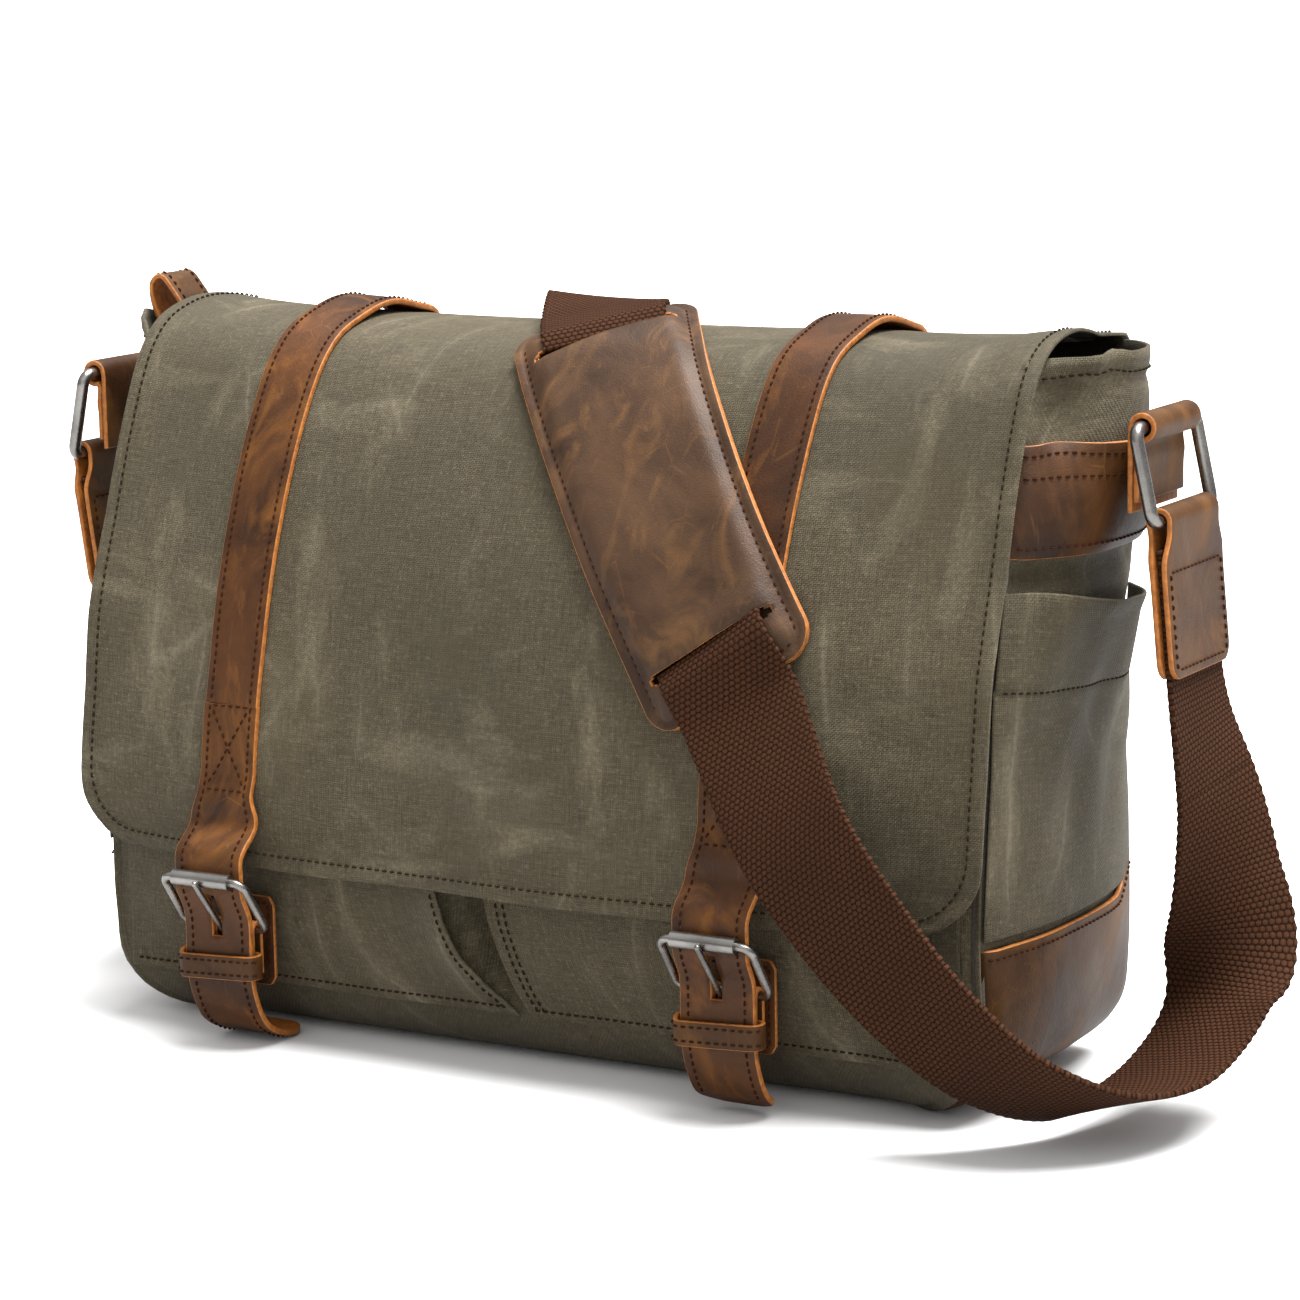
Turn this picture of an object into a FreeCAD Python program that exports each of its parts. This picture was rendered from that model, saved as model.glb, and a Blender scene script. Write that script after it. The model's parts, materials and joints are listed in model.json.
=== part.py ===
"""A waxed-canvas messenger bag with leather trim, modelled in millimetres.

The bag stands on the floor.  X runs to the bag's right as its front is faced, Y runs from front to
back, Z runs up, and the origin is the middle of the flat bottom panel, on the floor.
Every soft panel is a thin sheet with a true outer shape; the metal fittings are exact solids.
"""
import FreeCAD
import Part
import math
import os

V = FreeCAD.Vector

# ---------------------------------------------------------------- driving dimensions
CANVAS = 1.6            # waxed canvas, two plies
LINING = 0.7            # cotton lining
LEATHER = 2.2           # trim leather
STRAP_LEATHER = 2.6     # closure straps, folded and edge-stitched
PAD_LEATHER = 1.8       # each of the shoulder pad's two layers
WEBBING = 2.4           # cotton webbing
GAP = 0.35              # air left between neighbouring layers

SEAM_HALF = 200.0       # half width between the side seams
BOTTOM_HALF = 155.0     # half width of the flat bottom panel
CORNER_R = 45.0         # rounding of the body's lower corners, seen from the front
BOTTOM_FRONT = -44.0    # front and back edges of the flat bottom panel
BOTTOM_BACK = 44.0
FRONT_BULGE = 5.0       # how far the filled front swells at its middle
SIDE_TOP = 288.0        # height of the gussets' top edge

FLAP_HALF = 206.0       # half width of the flap
FLAP_BULGE = 8.0
HEM_Z = 74.0            # lower edge of the flap
HEM_R = 30.0            # rounding of the flap's lower corners
HINGE_Y, HINGE_Z = 53.0, 289.0      # crease where the flap turns over the back's top edge

STRAP_X = {"left": -126.0, "right": 104.0}     # middle of each closure strap
STRAP_W = 26.0          # sewn part of the closure strap
TONGUE_W = 32.0         # free part, through the buckle
FOLD_Z = 103.0          # lower end of the sewn part, where the free part bends

PAD_L, PAD_HALF = 188.0, 37.0       # shoulder pad: length and half width
PAD_LEAN = 33.0                     # degrees between the pad's length and the flap's fall line
PAD_TOP_X, PAD_TOP_RUN = 2.0, 48.0  # where the pad's top edge lies: across, and from the crease
PAD_SLOT, SLOT_L = 20.0, 54.0       # slot's distance from the pad's end, and its length
PAD_LIFT = STRAP_LEATHER + GAP + 1.4            # the pad rides over the closure strap

WEB_W = 50.0            # shoulder webbing
RING_W = 52.0           # ring, inside width
RING_H = 30.0           # ring, inside height
RING_WIRE = 2.6         # ring wire radius
RING_X, RING_Y, RING_Z = 240.5, 3.0, 262.0     # middle of the right ring's upper bar
RING_LEAN = math.radians(12)                   # the ring hangs a little away from the bag
TAB_EYE_W, TAB_W = 47.0, 56.0                  # strap end: in the ring, and below it
TAB_LEAN = {1: 5.0, -1: -8.0}                  # degrees each strap end hangs outwards
SLIDER_AT = 0.52                               # share of the rear webbing run before its slide

# Profiles are (height, depth) pairs: the front panel and the flap at the side seam.
FRONT_PROFILE = [(28, -69), (50, -72), (75, -73), (110, -71), (150, -66), (190, -58.5),
                 (230, -48), (250, -40), (262, -34), (272, -28)]
BACK_PROFILE = [(26, 61), (60, 63), (110, 64), (160, 63), (210, 60), (250, 56), (284, 51)]
FLAP_PATH = [(HINGE_Y - 2.0, 289.5), (30, 292.5), (6, 293), (-15, 288.5), (-28, 279.5), (-38, 265),
             (-50, 239), (-59.5, 213), (-67, 190), (-74, 163), (-80, 136), (-84, 105), (-86, HEM_Z)]


# ---------------------------------------------------------------- small tools
def lerp(a, b, t):
    return a + (b - a) * t


def smooth(t):
    t = max(0.0, min(1.0, t))
    return t * t * (3 - 2 * t)


def table(pairs, at):
    """Smooth value of a table of (key, value) pairs with rising keys."""
    if at <= pairs[0][0]:
        return pairs[0][1]
    if at >= pairs[-1][0]:
        return pairs[-1][1]
    i = max(k for k in range(len(pairs) - 1) if pairs[k][0] <= at)

    def slope(k):
        lo, hi = max(0, k - 1), min(len(pairs) - 1, k + 1)
        return (pairs[hi][1] - pairs[lo][1]) / (pairs[hi][0] - pairs[lo][0])

    (x0, y0), (x1, y1) = pairs[i], pairs[i + 1]
    h = x1 - x0
    t = (at - x0) / h
    return ((2 * t**3 - 3 * t**2 + 1) * y0 + (t**3 - 2 * t**2 + t) * h * slope(i)
            + (3 * t**2 - 2 * t**3) * y1 + (t**3 - t**2) * h * slope(i + 1))


def spread(n):
    return [i / (n - 1) for i in range(n)]


def surface_through(rows):
    s = Part.BSplineSurface()
    s.interpolate(rows)
    return s


def sheet(point, thickness, nu=9, nv=9, lift=0.0):
    """Closed thin solid whose near face stands `lift` in front of the surface point(u, v).

    u and v run from 0 to 1; the front is where the cross product of their directions points."""
    outer, inner = [], []
    e = 1e-3
    for u in spread(nu):
        ro, ri = [], []
        for v in spread(nv):
            p = point(u, v)
            du = point(min(1, u + e), v) - point(max(0, u - e), v)
            dv = point(u, min(1, v + e)) - point(u, max(0, v - e))
            n = du.cross(dv)
            n.normalize()
            ro.append(p + n * (lift + thickness))
            ri.append(p + n * lift)
        outer.append(ro)
        inner.append(ri)
    a, b = surface_through(outer), surface_through(inner)
    edges = []
    for s in (a, b):
        u0, u1, v0, v1 = s.bounds()
        edges.append([s.uIso(u0).toShape(), s.uIso(u1).toShape(),
                      s.vIso(v0).toShape(), s.vIso(v1).toShape()])
    faces = [a.toShape(), b.toShape()]
    faces += [Part.makeRuledSurface(p, q, 1) for p, q in zip(*edges)]
    shell = Part.makeShell(faces)
    shell.sewShape()
    solid = Part.makeSolid(Part.Shell(shell.Faces))
    if solid.Volume < 0:
        solid.reverse()
    return solid


def strip_x(path, thickness, x_mid, width):
    """Band of constant width along X: `path` is its middle line as (y, z) points."""
    curve = Part.BSplineCurve()
    curve.interpolate([V(0, y, z) for y, z in path])
    first, last = curve.FirstParameter, curve.LastParameter
    n = 4 * len(path)
    sides = {1: [], -1: []}
    for t in spread(n):
        q = lerp(first, last, t)
        p, d = curve.value(q), curve.tangent(q)[0]
        normal = V(0, -d.z, d.y)
        for s in sides:
            sides[s].append(p + normal * (s * thickness / 2))
    edges = []
    for s in (1, -1):
        c = Part.BSplineCurve()
        c.interpolate(sides[s])
        edges.append(c.toShape())
    edges.append(Part.makeLine(sides[1][0], sides[-1][0]))
    edges.append(Part.makeLine(sides[1][-1], sides[-1][-1]))
    face = Part.Face(Part.Wire(Part.__sortEdges__(edges)))
    band = face.extrude(V(width, 0, 0))
    band.translate(V(x_mid - width / 2, 0, 0))
    return band


def slab(x0, x1, y0, y1, z0, z1):
    return Part.makeBox(x1 - x0, y1 - y0, z1 - z0, V(x0, y0, z0))


def rod(radius, a, b):
    return Part.makeCylinder(radius, (b - a).Length, a, b - a)


def wire_loop(width, height, corner, radius):
    """Closed ring of round wire in the XY plane, centred on the origin: inside size plus wire."""
    w, h, c = width / 2 + radius, height / 2 + radius, corner
    k = c * (1 - math.sqrt(0.5))
    parts = [
        Part.makeLine(V(-w + c, h, 0), V(w - c, h, 0)),
        Part.Arc(V(w - c, h, 0), V(w - k, h - k, 0), V(w, h - c, 0)).toShape(),
        Part.makeLine(V(w, h - c, 0), V(w, -h + c, 0)),
        Part.Arc(V(w, -h + c, 0), V(w - k, -h + k, 0), V(w - c, -h, 0)).toShape(),
        Part.makeLine(V(w - c, -h, 0), V(-w + c, -h, 0)),
        Part.Arc(V(-w + c, -h, 0), V(-w + k, -h + k, 0), V(-w, -h + c, 0)).toShape(),
        Part.makeLine(V(-w, -h + c, 0), V(-w, h - c, 0)),
        Part.Arc(V(-w, h - c, 0), V(-w + k, h - k, 0), V(-w + c, h, 0)).toShape(),
    ]
    path = Part.Wire(parts)
    profile = Part.Wire(Part.makeCircle(radius, V(0, h, 0), V(1, 0, 0)))
    return path.makePipeShell([profile], True, True)


# ---------------------------------------------------------------- body surfaces
def seam_half(z):
    """Half width of the body at the side seams."""
    if z >= CORNER_R:
        return SEAM_HALF
    return BOTTOM_HALF + CORNER_R * math.sqrt(max(0.0, 1 - (1 - z / CORNER_R) ** 2))


def profile_depth(profile, start, z):
    """Depth of the front or back panel at the seam, rounding under to the bottom panel."""
    z0, y0 = profile[0]
    if z >= z0:
        return table(profile, z)
    return start + (y0 - start) * math.sqrt(max(0.0, 1 - (1 - z / z0) ** 2))


def front_y(x, z):
    seam = profile_depth(FRONT_PROFILE, BOTTOM_FRONT, z)
    swell = FRONT_BULGE * smooth(z / 60) * smooth((272 - z) / 90)
    return seam - swell * max(0.0, 1 - (x / SEAM_HALF) ** 2)


def back_y(x, z):
    seam = profile_depth(BACK_PROFILE, BOTTOM_BACK, z)
    return seam + 4.0 * smooth(z / 60) * smooth((284 - z) / 90) * max(0.0, 1 - (x / SEAM_HALF) ** 2)


def panel_height(v, top):
    """Height along a panel for v from 0 to 1, with short steps where it rounds under."""
    round_part = 0.22
    if v < round_part:
        return CORNER_R * (1 - math.cos(v / round_part * math.pi / 2))
    return lerp(CORNER_R, top, (v - round_part) / (1 - round_part))


SIDE_SWELL = [(0, 0), (45, 7), (75, 10), (110, 10), (150, 10), (190, 17), (220, 25), (255, 31),
              (290, 27)]


def side_point(u, v, side, out=0.0, z_low=None, z_high=None):
    """Point of a gusset: u runs from the front seam to the back seam, v from the bottom to the top."""
    ear = 267.0 + (SIDE_TOP - 267.0) * smooth(u / 0.33)
    if z_low is None:
        z = panel_height(v, ear)
    else:
        z = lerp(z_low, z_high(u) if callable(z_high) else z_high, v)
    y0, y1 = front_y(SEAM_HALF, min(z, 272)), back_y(SEAM_HALF, min(z, 284))
    y = lerp(y0 + 1.0, y1 - 1.0, u)
    swell = table(SIDE_SWELL, z) * (1 - abs(2 * u - 1) ** 2.2)
    return V(side * (seam_half(z) + swell + out), y, z)


def flap_point(u, v, out=0.0):
    """Point of the flap: u runs across from left to right, v from the crease over the top to the hem."""
    n = len(FLAP_PATH) - 1
    depths = [(i / n, p[0]) for i, p in enumerate(FLAP_PATH)]
    heights = [(i / n, p[1]) for i, p in enumerate(FLAP_PATH)]
    y, z = table(depths, v), table(heights, v)
    x = lerp(-1, 1, u)
    swell = FLAP_BULGE * smooth((285 - z) / 90) * (1 - x * x)
    sag = 4.0 * (1 - x**4) * smooth((z - 250) / 40)
    before, after = max(0, v - 1e-3), min(1, v + 1e-3)
    ty = table(depths, after) - table(depths, before)
    tz = table(heights, after) - table(heights, before)
    length = math.hypot(ty, tz)
    return V(x * FLAP_HALF, y - swell + out * tz / length, z - sag - out * ty / length)


# ---------------------------------------------------------------- body panels
def front_panel():
    def point(u, v):
        z = panel_height(v, 271)
        x = lerp(-1, 1, u) * (seam_half(z) - 1.5)
        return V(x, front_y(x, z), z + 0.02)

    return sheet(point, CANVAS, 9, 15, -CANVAS)


def back_panel():
    def point(u, v):
        z = panel_height(v, 281)
        x = lerp(1, -1, u) * (seam_half(z) - 1.5)
        return V(x, back_y(x, z), z + 0.02)

    return sheet(point, CANVAS, 9, 15, -CANVAS)


def gusset(side):
    def point(u, v):
        across = lerp(0.03, 0.97, u)
        return side_point(across if side > 0 else 1 - across, v, side) + V(0, 0, 0.02)

    return sheet(point, CANVAS, 15, 17, -CANVAS)


def bottom_panel():
    return slab(-BOTTOM_HALF + 3, BOTTOM_HALF - 3, BOTTOM_FRONT + 3, BOTTOM_BACK - 3, 0, CANVAS)


def lining():
    """Cotton lining: one open cup that follows the panels from inside."""
    def level(z, extra):
        inward = 3.2 + 3.0 * smooth((30 - z) / 30) + extra
        half = seam_half(z) - inward
        row = [lerp(-half, half, t) for t in spread(9)]
        turn = [lerp(0.12, 0.88, t) for t in spread(7)]
        sides = [side_point(t, 0, 1, -(1.2 + smooth((45 - z) / 30)) * inward, z, z) for t in turn]
        ring = [V(x, front_y(x, z) + inward, z) for x in row] + sides
        ring += [V(x, back_y(x, z) - inward, z) for x in reversed(row)]
        ring += [V(-p.x, p.y, z) for p in reversed(sides)]
        return Part.makePolygon(ring + ring[:1])

    heights = [4.2, 10, 18, 30, 48, 80, 120, 160, 200, 235, 262]
    cup = Part.makeLoft([level(z, 0) for z in heights], True, True)
    heights = [4.2 + LINING] + heights[1:-1] + [263]
    return cup.cut(Part.makeLoft([level(z, LINING) for z in heights], True, True))


def base_board():
    z = 4.2 + LINING + GAP
    board = slab(-140, 140, -34, 34, z, z + 2.4)
    return board.makeFillet(12, [e for e in board.Edges if abs(e.tangentAt(e.FirstParameter).z) > 0.99])


def laptop_divider():
    """Padded sheet that stands in front of the back panel."""
    pad = slab(-170, 170, 42, 50, 9, 235)
    return pad.makeFillet(3.5, pad.Edges)


def divider_tab():
    """Leather tab from the back panel over the divider, with its fastener patch."""
    return strip_x([(47.0, 258), (46.0, 249), (43.0, 240), (39.5, 231), (38.5, 220), (38.3, 200)],
                   1.8, 0, 34)


def pocket(x_left, x_right):
    """Patch pocket on the front panel: sewn down round its edge and standing off it in the middle."""
    low, high = 24.0, 176.0

    def point(u, v):
        z = lerp(low, high, v)
        x = lerp(x_left, x_right, u)
        edge = min(1.0, 4.2 * min(u, 1 - u)) * min(1.0, 3.0 * v)
        return V(x, front_y(x, z) - 2.4 * smooth(edge), z)

    return sheet(point, CANVAS * 0.7, 13, 17, 1.0)


def side_pocket(side):
    def top(u):
        return 203.0 - 12.0 * u

    def point(u, v):
        across = lerp(0.07, 0.93, u)
        q = across if side > 0 else 1 - across
        off = 3.5 * (1 - abs(2 * u - 1) ** 3) * smooth(v * 1.5)
        return side_point(q, v, side, off, 88.0, lambda w: top(q))

    return sheet(point, CANVAS * 0.7, 9, 9, 0.9)


def corner_guard(side):
    """Leather over the gusset's lower end; it rises at the back seam."""
    def point(u, v):
        q = lerp(0.04, 0.96, u) if side > 0 else lerp(0.96, 0.04, u)
        top = 70.0 + 14.0 * smooth((q - 0.8) / 0.2)
        low = CORNER_R * (1 - math.cos(math.radians(26)))
        if v < 0.5:
            z = CORNER_R * (1 - math.cos(math.radians(lerp(26, 90, 2 * v))))
        else:
            z = lerp(CORNER_R, top, 2 * v - 1)
        return side_point(q, 0, side, 0, max(z, low), max(z, low))

    return sheet(point, LEATHER, 13, 15, 0.8)


def side_band(side):
    """Leather band across the gusset, under the ring."""
    def point(u, v):
        across = lerp(0.05, 0.95, u)
        q = across if side > 0 else 1 - across
        return side_point(q, v, side, 0, 216.0, 254.0)

    return sheet(point, LEATHER, 15, 7, 0.9)


# ---------------------------------------------------------------- flap
def round_hem(flap):
    """Cuts the flap's two lower corners to a radius."""
    r = HEM_R
    for side in (-1, 1):
        x = side * (FLAP_HALF - r)
        x0, x1 = sorted((x, x + side * 2 * r))
        block = slab(x0, x1, -120, -60, HEM_Z - 5, HEM_Z + r)
        flap = flap.cut(block.cut(Part.makeCylinder(r, 60, V(x, -120, HEM_Z + r), V(0, 1, 0))))
    return flap


def flap_shell():
    return round_hem(sheet(lambda u, v: flap_point(1 - u, v), CANVAS, 11, 25, -CANVAS))


def flap_lining():
    def point(u, v):
        return flap_point(lerp(0.97, 0.03, u), lerp(0.09, 0.97, v))

    return round_hem(sheet(point, LINING, 11, 25, -CANVAS - LINING - 0.5))


def flap_seam_band():
    """The flap's rear margin, sewn to the outside of the back panel."""
    def point(u, v):
        z = lerp(240, 280, v)
        x = lerp(1, -1, u) * (SEAM_HALF - 4)
        return V(x, back_y(x, z), z)

    return sheet(point, CANVAS, 7, 5, GAP)


def on_flap(x, out, v_from, v_to, count):
    """Points (y, z) at distance `out` above the flap, along the line at x."""
    pts = [flap_point((x / FLAP_HALF + 1) / 2, lerp(v_from, v_to, t), out) for t in spread(count)]
    return [(p.y, p.z) for p in pts]


def flap_v(x, z):
    """Where along the flap its front reaches height z."""
    lo, hi = 0.3, 1.0
    for _ in range(40):
        mid = (lo + hi) / 2
        if flap_point((x / FLAP_HALF + 1) / 2, mid).z > z:
            lo = mid
        else:
            hi = mid
    return lo


def flap_strap(x):
    """Closure strap's upper part, sewn to the flap from the crease to the fold."""
    path = on_flap(x, GAP + STRAP_LEATHER / 2 + 0.6, 0.0, flap_v(x, FOLD_Z + 1.0), 16)
    return strip_x(path, STRAP_LEATHER, x, STRAP_W)


def strap_anchor(x):
    """The strap's rear end, sewn to the back panel below the crease."""
    off = 2 * (CANVAS + GAP) + STRAP_LEATHER / 2 + 0.6
    path = [(back_y(x, z) + off, z) for z in (205, 225, 245, 262, 279)]
    return strip_x(path, STRAP_LEATHER, x, STRAP_W)


# ---------------------------------------------------------------- buckle closure
PATCH_Y = -86.6          # outer face of the leather patch that holds the snap socket
SNAP_Z = 38.5
SNAP_R = 7.0
SOCKET_T, STUD_T = 2.4, 1.2
STUD_Y = PATCH_Y - GAP - SOCKET_T - GAP            # inner face of the stud's plate
CHAPE_T = 1.8
BAR_R = 1.7
BAR_Z = 50.0
BAR_Y = STUD_Y - STUD_T - GAP - CHAPE_T - BAR_R - 0.2
BUCKLE_IN_W, BUCKLE_IN_L = 36.0, 24.5
BUCKLE_LEAN = math.radians(35)                     # the frame leans away from the bag
ROLLER_R = 3.2
RUN = 0.08                                         # running clearance on the wire
BAR_PITCH = BUCKLE_IN_L + 2 * BAR_R
ROLL_Y = BAR_Y - BAR_PITCH * math.sin(BUCKLE_LEAN)
ROLL_Z = BAR_Z + BAR_PITCH * math.cos(BUCKLE_LEAN)
PRONG_R = 1.2


def buckle_place(shape, x):
    """Turns a shape built in the buckle's own plane into the bag's frame, lower bar on its axis."""
    shape.rotate(V(0, 0, 0), V(1, 0, 0), 90 + math.degrees(BUCKLE_LEAN))
    shape.translate(V(x, BAR_Y, BAR_Z))
    return shape


def buckle_frame(x):
    loop = wire_loop(BUCKLE_IN_W, BUCKLE_IN_L, 5.0, BAR_R)
    loop.translate(V(0, BAR_PITCH / 2, 0))
    return buckle_place(loop, x)


def buckle_roller(x):
    length = BUCKLE_IN_W - 8.5
    axis = V(x - length / 2, ROLL_Y, ROLL_Z)
    tube = Part.makeCylinder(ROLLER_R, length, axis, V(1, 0, 0))
    return tube.cut(Part.makeCylinder(BAR_R + RUN, length, axis, V(1, 0, 0)))


def buckle_prong(x):
    """Tongue: an eye round the lower bar, a straight shank and a tip that rests on the roller."""
    eye_w = 3.2
    eye = Part.makeCylinder(BAR_R + RUN + 1.3, eye_w, V(x - eye_w / 2, BAR_Y, BAR_Z), V(1, 0, 0))
    eye_hole = Part.makeCylinder(BAR_R + RUN, eye_w, V(x - eye_w / 2, BAR_Y, BAR_Z), V(1, 0, 0))
    out = V(0, -math.cos(BUCKLE_LEAN), -math.sin(BUCKLE_LEAN))
    start = V(x, BAR_Y, BAR_Z) + out * (BAR_R + RUN + PRONG_R)
    over = V(x, ROLL_Y, ROLL_Z) + out * (ROLLER_R + PRONG_R + 0.15)
    along = over - start
    along.normalize()
    tip = over + along * 2.4
    shank = rod(PRONG_R, start, tip)
    end = Part.makeSphere(PRONG_R, tip)
    knee = Part.makeSphere(PRONG_R, start)
    return eye.fuse([shank, end, knee]).cut(eye_hole)


def tongue_top(x):
    """Depth of the free strap's middle line where it leaves the flap."""
    return flap_point((x / FLAP_HALF + 1) / 2, flap_v(x, FOLD_Z)).y - GAP - STRAP_LEATHER / 2 - 2.8


def strap_tongue(x):
    """Free part of the closure strap: under the roller, over the lower bar, then under the bag's edge."""
    t = STRAP_LEATHER / 2
    top = tongue_top(x)
    behind_roller = ROLL_Y + ROLLER_R + t + 0.4
    over_bar = BAR_Y - BAR_R - CHAPE_T - t - 0.9
    path = [(top, FOLD_Z), (top - 1.2, 92), (behind_roller + 0.6, 82), (behind_roller, ROLL_Z),
            (behind_roller + 0.2, 66.5), (over_bar - 0.7, 57), (over_bar, 50), (over_bar, 38),
            (over_bar + 1.6, 25), (over_bar + 9.5, 10), (over_bar + 23, 2.9), (-59.5, 1.9)]
    tongue = strip_x(path, STRAP_LEATHER, x, TONGUE_W)
    hole = slab(x - 2.3, x + 2.3, over_bar - 12, over_bar + 6, 47.0, 66.0)
    return tongue.cut(hole)


def buckle_chape(x):
    """Leather tab folded round the buckle's lower bar, slotted for the tongue's eye."""
    r_in, r_out = BAR_R + 0.2, BAR_R + 0.2 + CHAPE_T
    low = 31.5
    disc = Part.makeCylinder(r_out, 30, V(x - 15, BAR_Y, BAR_Z), V(1, 0, 0))
    legs = slab(x - 15, x + 15, BAR_Y - r_out, BAR_Y + r_out, low, BAR_Z)
    hollow = Part.makeCylinder(r_in, 30, V(x - 15, BAR_Y, BAR_Z), V(1, 0, 0))
    core = slab(x - 15, x + 15, BAR_Y - r_in, BAR_Y + r_in, low - 1, BAR_Z)
    slot = slab(x - 3.2, x + 3.2, BAR_Y - r_out - 1, BAR_Y + r_out + 1, BAR_Z - 6.5, BAR_Z + r_out + 1)
    return disc.fuse(legs).cut(hollow.fuse(core).fuse(slot))


def keeper(x):
    """Leather loop round the strap's free end and the chape's front layer."""
    t, half = 1.8, TONGUE_W / 2 + 1.2
    y_out = BAR_Y - BAR_R - CHAPE_T - STRAP_LEATHER - 2.4
    y_in = BAR_Y - BAR_R - 0.2 + 0.25
    outer = slab(x - half - t, x + half + t, y_out - t, y_in + t, 31.0, 41.0)
    outer = outer.makeFillet(2.6, [e for e in outer.Edges if abs(e.tangentAt(e.FirstParameter).z) > 0.99])
    inner = slab(x - half, x + half, y_out, y_in, 30.0, 42.0)
    return outer.cut(inner)


def snap_stud(x):
    """Magnetic snap, male half: a plate with a short post."""
    plate = Part.makeCylinder(SNAP_R, STUD_T, V(x, STUD_Y, SNAP_Z), V(0, -1, 0))
    post = Part.makeCylinder(2.4, 1.9, V(x, STUD_Y, SNAP_Z), V(0, 1, 0))
    return plate.fuse(post)


def snap_socket(x):
    """Magnetic snap, female half: a magnet disc with a wide-mouthed hole."""
    disc = Part.makeCylinder(SNAP_R, SOCKET_T, V(x, PATCH_Y - GAP, SNAP_Z), V(0, -1, 0))
    hole = Part.makeCylinder(4.2, SOCKET_T, V(x, PATCH_Y - GAP, SNAP_Z), V(0, -1, 0))
    return disc.cut(hole)


def snap_patch(x):
    """Leather patch sewn to the front pocket; it carries the snap's socket."""
    patch = slab(x - 17, x + 17, PATCH_Y, PATCH_Y + 1.8, 25, 62)
    return patch.makeFillet(3, [e for e in patch.Edges if abs(e.tangentAt(e.FirstParameter).y) > 0.99])


# ---------------------------------------------------------------- rings and shoulder strap
def ring_bottom(side):
    drop = RING_H + 2 * RING_WIRE
    return V(side * (RING_X + drop * math.sin(RING_LEAN)), RING_Y, RING_Z - drop * math.cos(RING_LEAN))


def strap_ring(side):
    ring = wire_loop(RING_W, RING_H, 4.5, RING_WIRE)
    ring.rotate(V(0, 0, 0), V(1, 0, 0), 90)
    ring.rotate(V(0, 0, 0), V(0, 0, 1), 90)
    ring.translate(V(0, 0, -(RING_H / 2 + RING_WIRE)))
    ring.rotate(V(0, 0, 0), V(0, 1, 0), -side * math.degrees(RING_LEAN))
    ring.translate(V(side * RING_X, RING_Y, RING_Z))
    return ring


def ring_chape(side):
    """Leather loop that holds the ring's upper bar against the gusset."""
    width = 44.0
    r_in = RING_WIRE + 0.9
    r_out = r_in + LEATHER
    y0 = RING_Y - width / 2
    centre = V(side * RING_X, y0, RING_Z)
    tube = Part.makeCylinder(r_out, width, centre, V(0, 1, 0))
    x0, x1 = sorted((side * (RING_X - r_out), side * (RING_X - r_in)))
    tail = slab(x0, x1, y0, y0 + width, 230, RING_Z)
    bore = Part.makeCylinder(r_in, width, centre, V(0, 1, 0))
    return tube.fuse(tail).cut(bore)


def tab_dir(side):
    """Unit vector down the strap's end, which hangs from the ring."""
    lean = math.radians(TAB_LEAN[side])
    return V(side * math.sin(lean), 0, -math.cos(lean))


def strap_tab(side):
    """Leather end of the strap: folded round the ring's lower bar, both legs sewn to the webbing."""
    length = 60.0
    r_in = RING_WIRE + 0.5
    r_out = r_in + LEATHER
    eye = Part.makeCylinder(r_out, TAB_EYE_W, V(0, -TAB_EYE_W / 2, 0), V(0, 1, 0))
    neck = slab(-r_out, r_out, -TAB_EYE_W / 2, TAB_EYE_W / 2, -9, 0)
    legs = slab(-r_out, r_out, -TAB_W / 2, TAB_W / 2, -length, -8)
    bore = Part.makeCylinder(r_in, TAB_W, V(0, -TAB_W / 2, 0), V(0, 1, 0))
    core = slab(-r_in, r_in, -TAB_W / 2, TAB_W / 2, -length - 1, 0)
    tab = eye.fuse([neck, legs]).cut(bore.fuse(core))
    tab.rotate(V(0, 0, 0), V(0, 1, 0), -side * TAB_LEAN[side])
    tab.translate(ring_bottom(side))
    return tab


def web_frame(stations, u):
    """Centre, width direction and running direction of the webbing at u from 0 to 1."""
    keys = [0.0]
    for (p, _), (q, _) in zip(stations, stations[1:]):
        keys.append(keys[-1] + (V(*q) - V(*p)).Length)
    at = u * keys[-1]

    def value(which, where):
        return V(*[table([(k, s[which][i]) for k, s in zip(keys, stations)], where) for i in range(3)])

    run = value(0, min(keys[-1], at + 0.5)) - value(0, max(0, at - 0.5))
    run.normalize()
    across = value(1, at)
    across = across - run * across.dot(run)
    across.normalize()
    return value(0, at), across, run


def webbing(stations, nu):
    def point(u, v):
        centre, across, _ = web_frame(stations, u)
        return centre + across * lerp(-WEB_W / 2, WEB_W / 2, v)

    return sheet(point, WEBBING, nu, 3, -WEBBING / 2)


def ring_end(side, drop):
    """Point on the strap's end, `drop` below the ring's lower bar."""
    p = ring_bottom(side) + tab_dir(side) * drop
    return (p.x, p.y, p.z)


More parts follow.
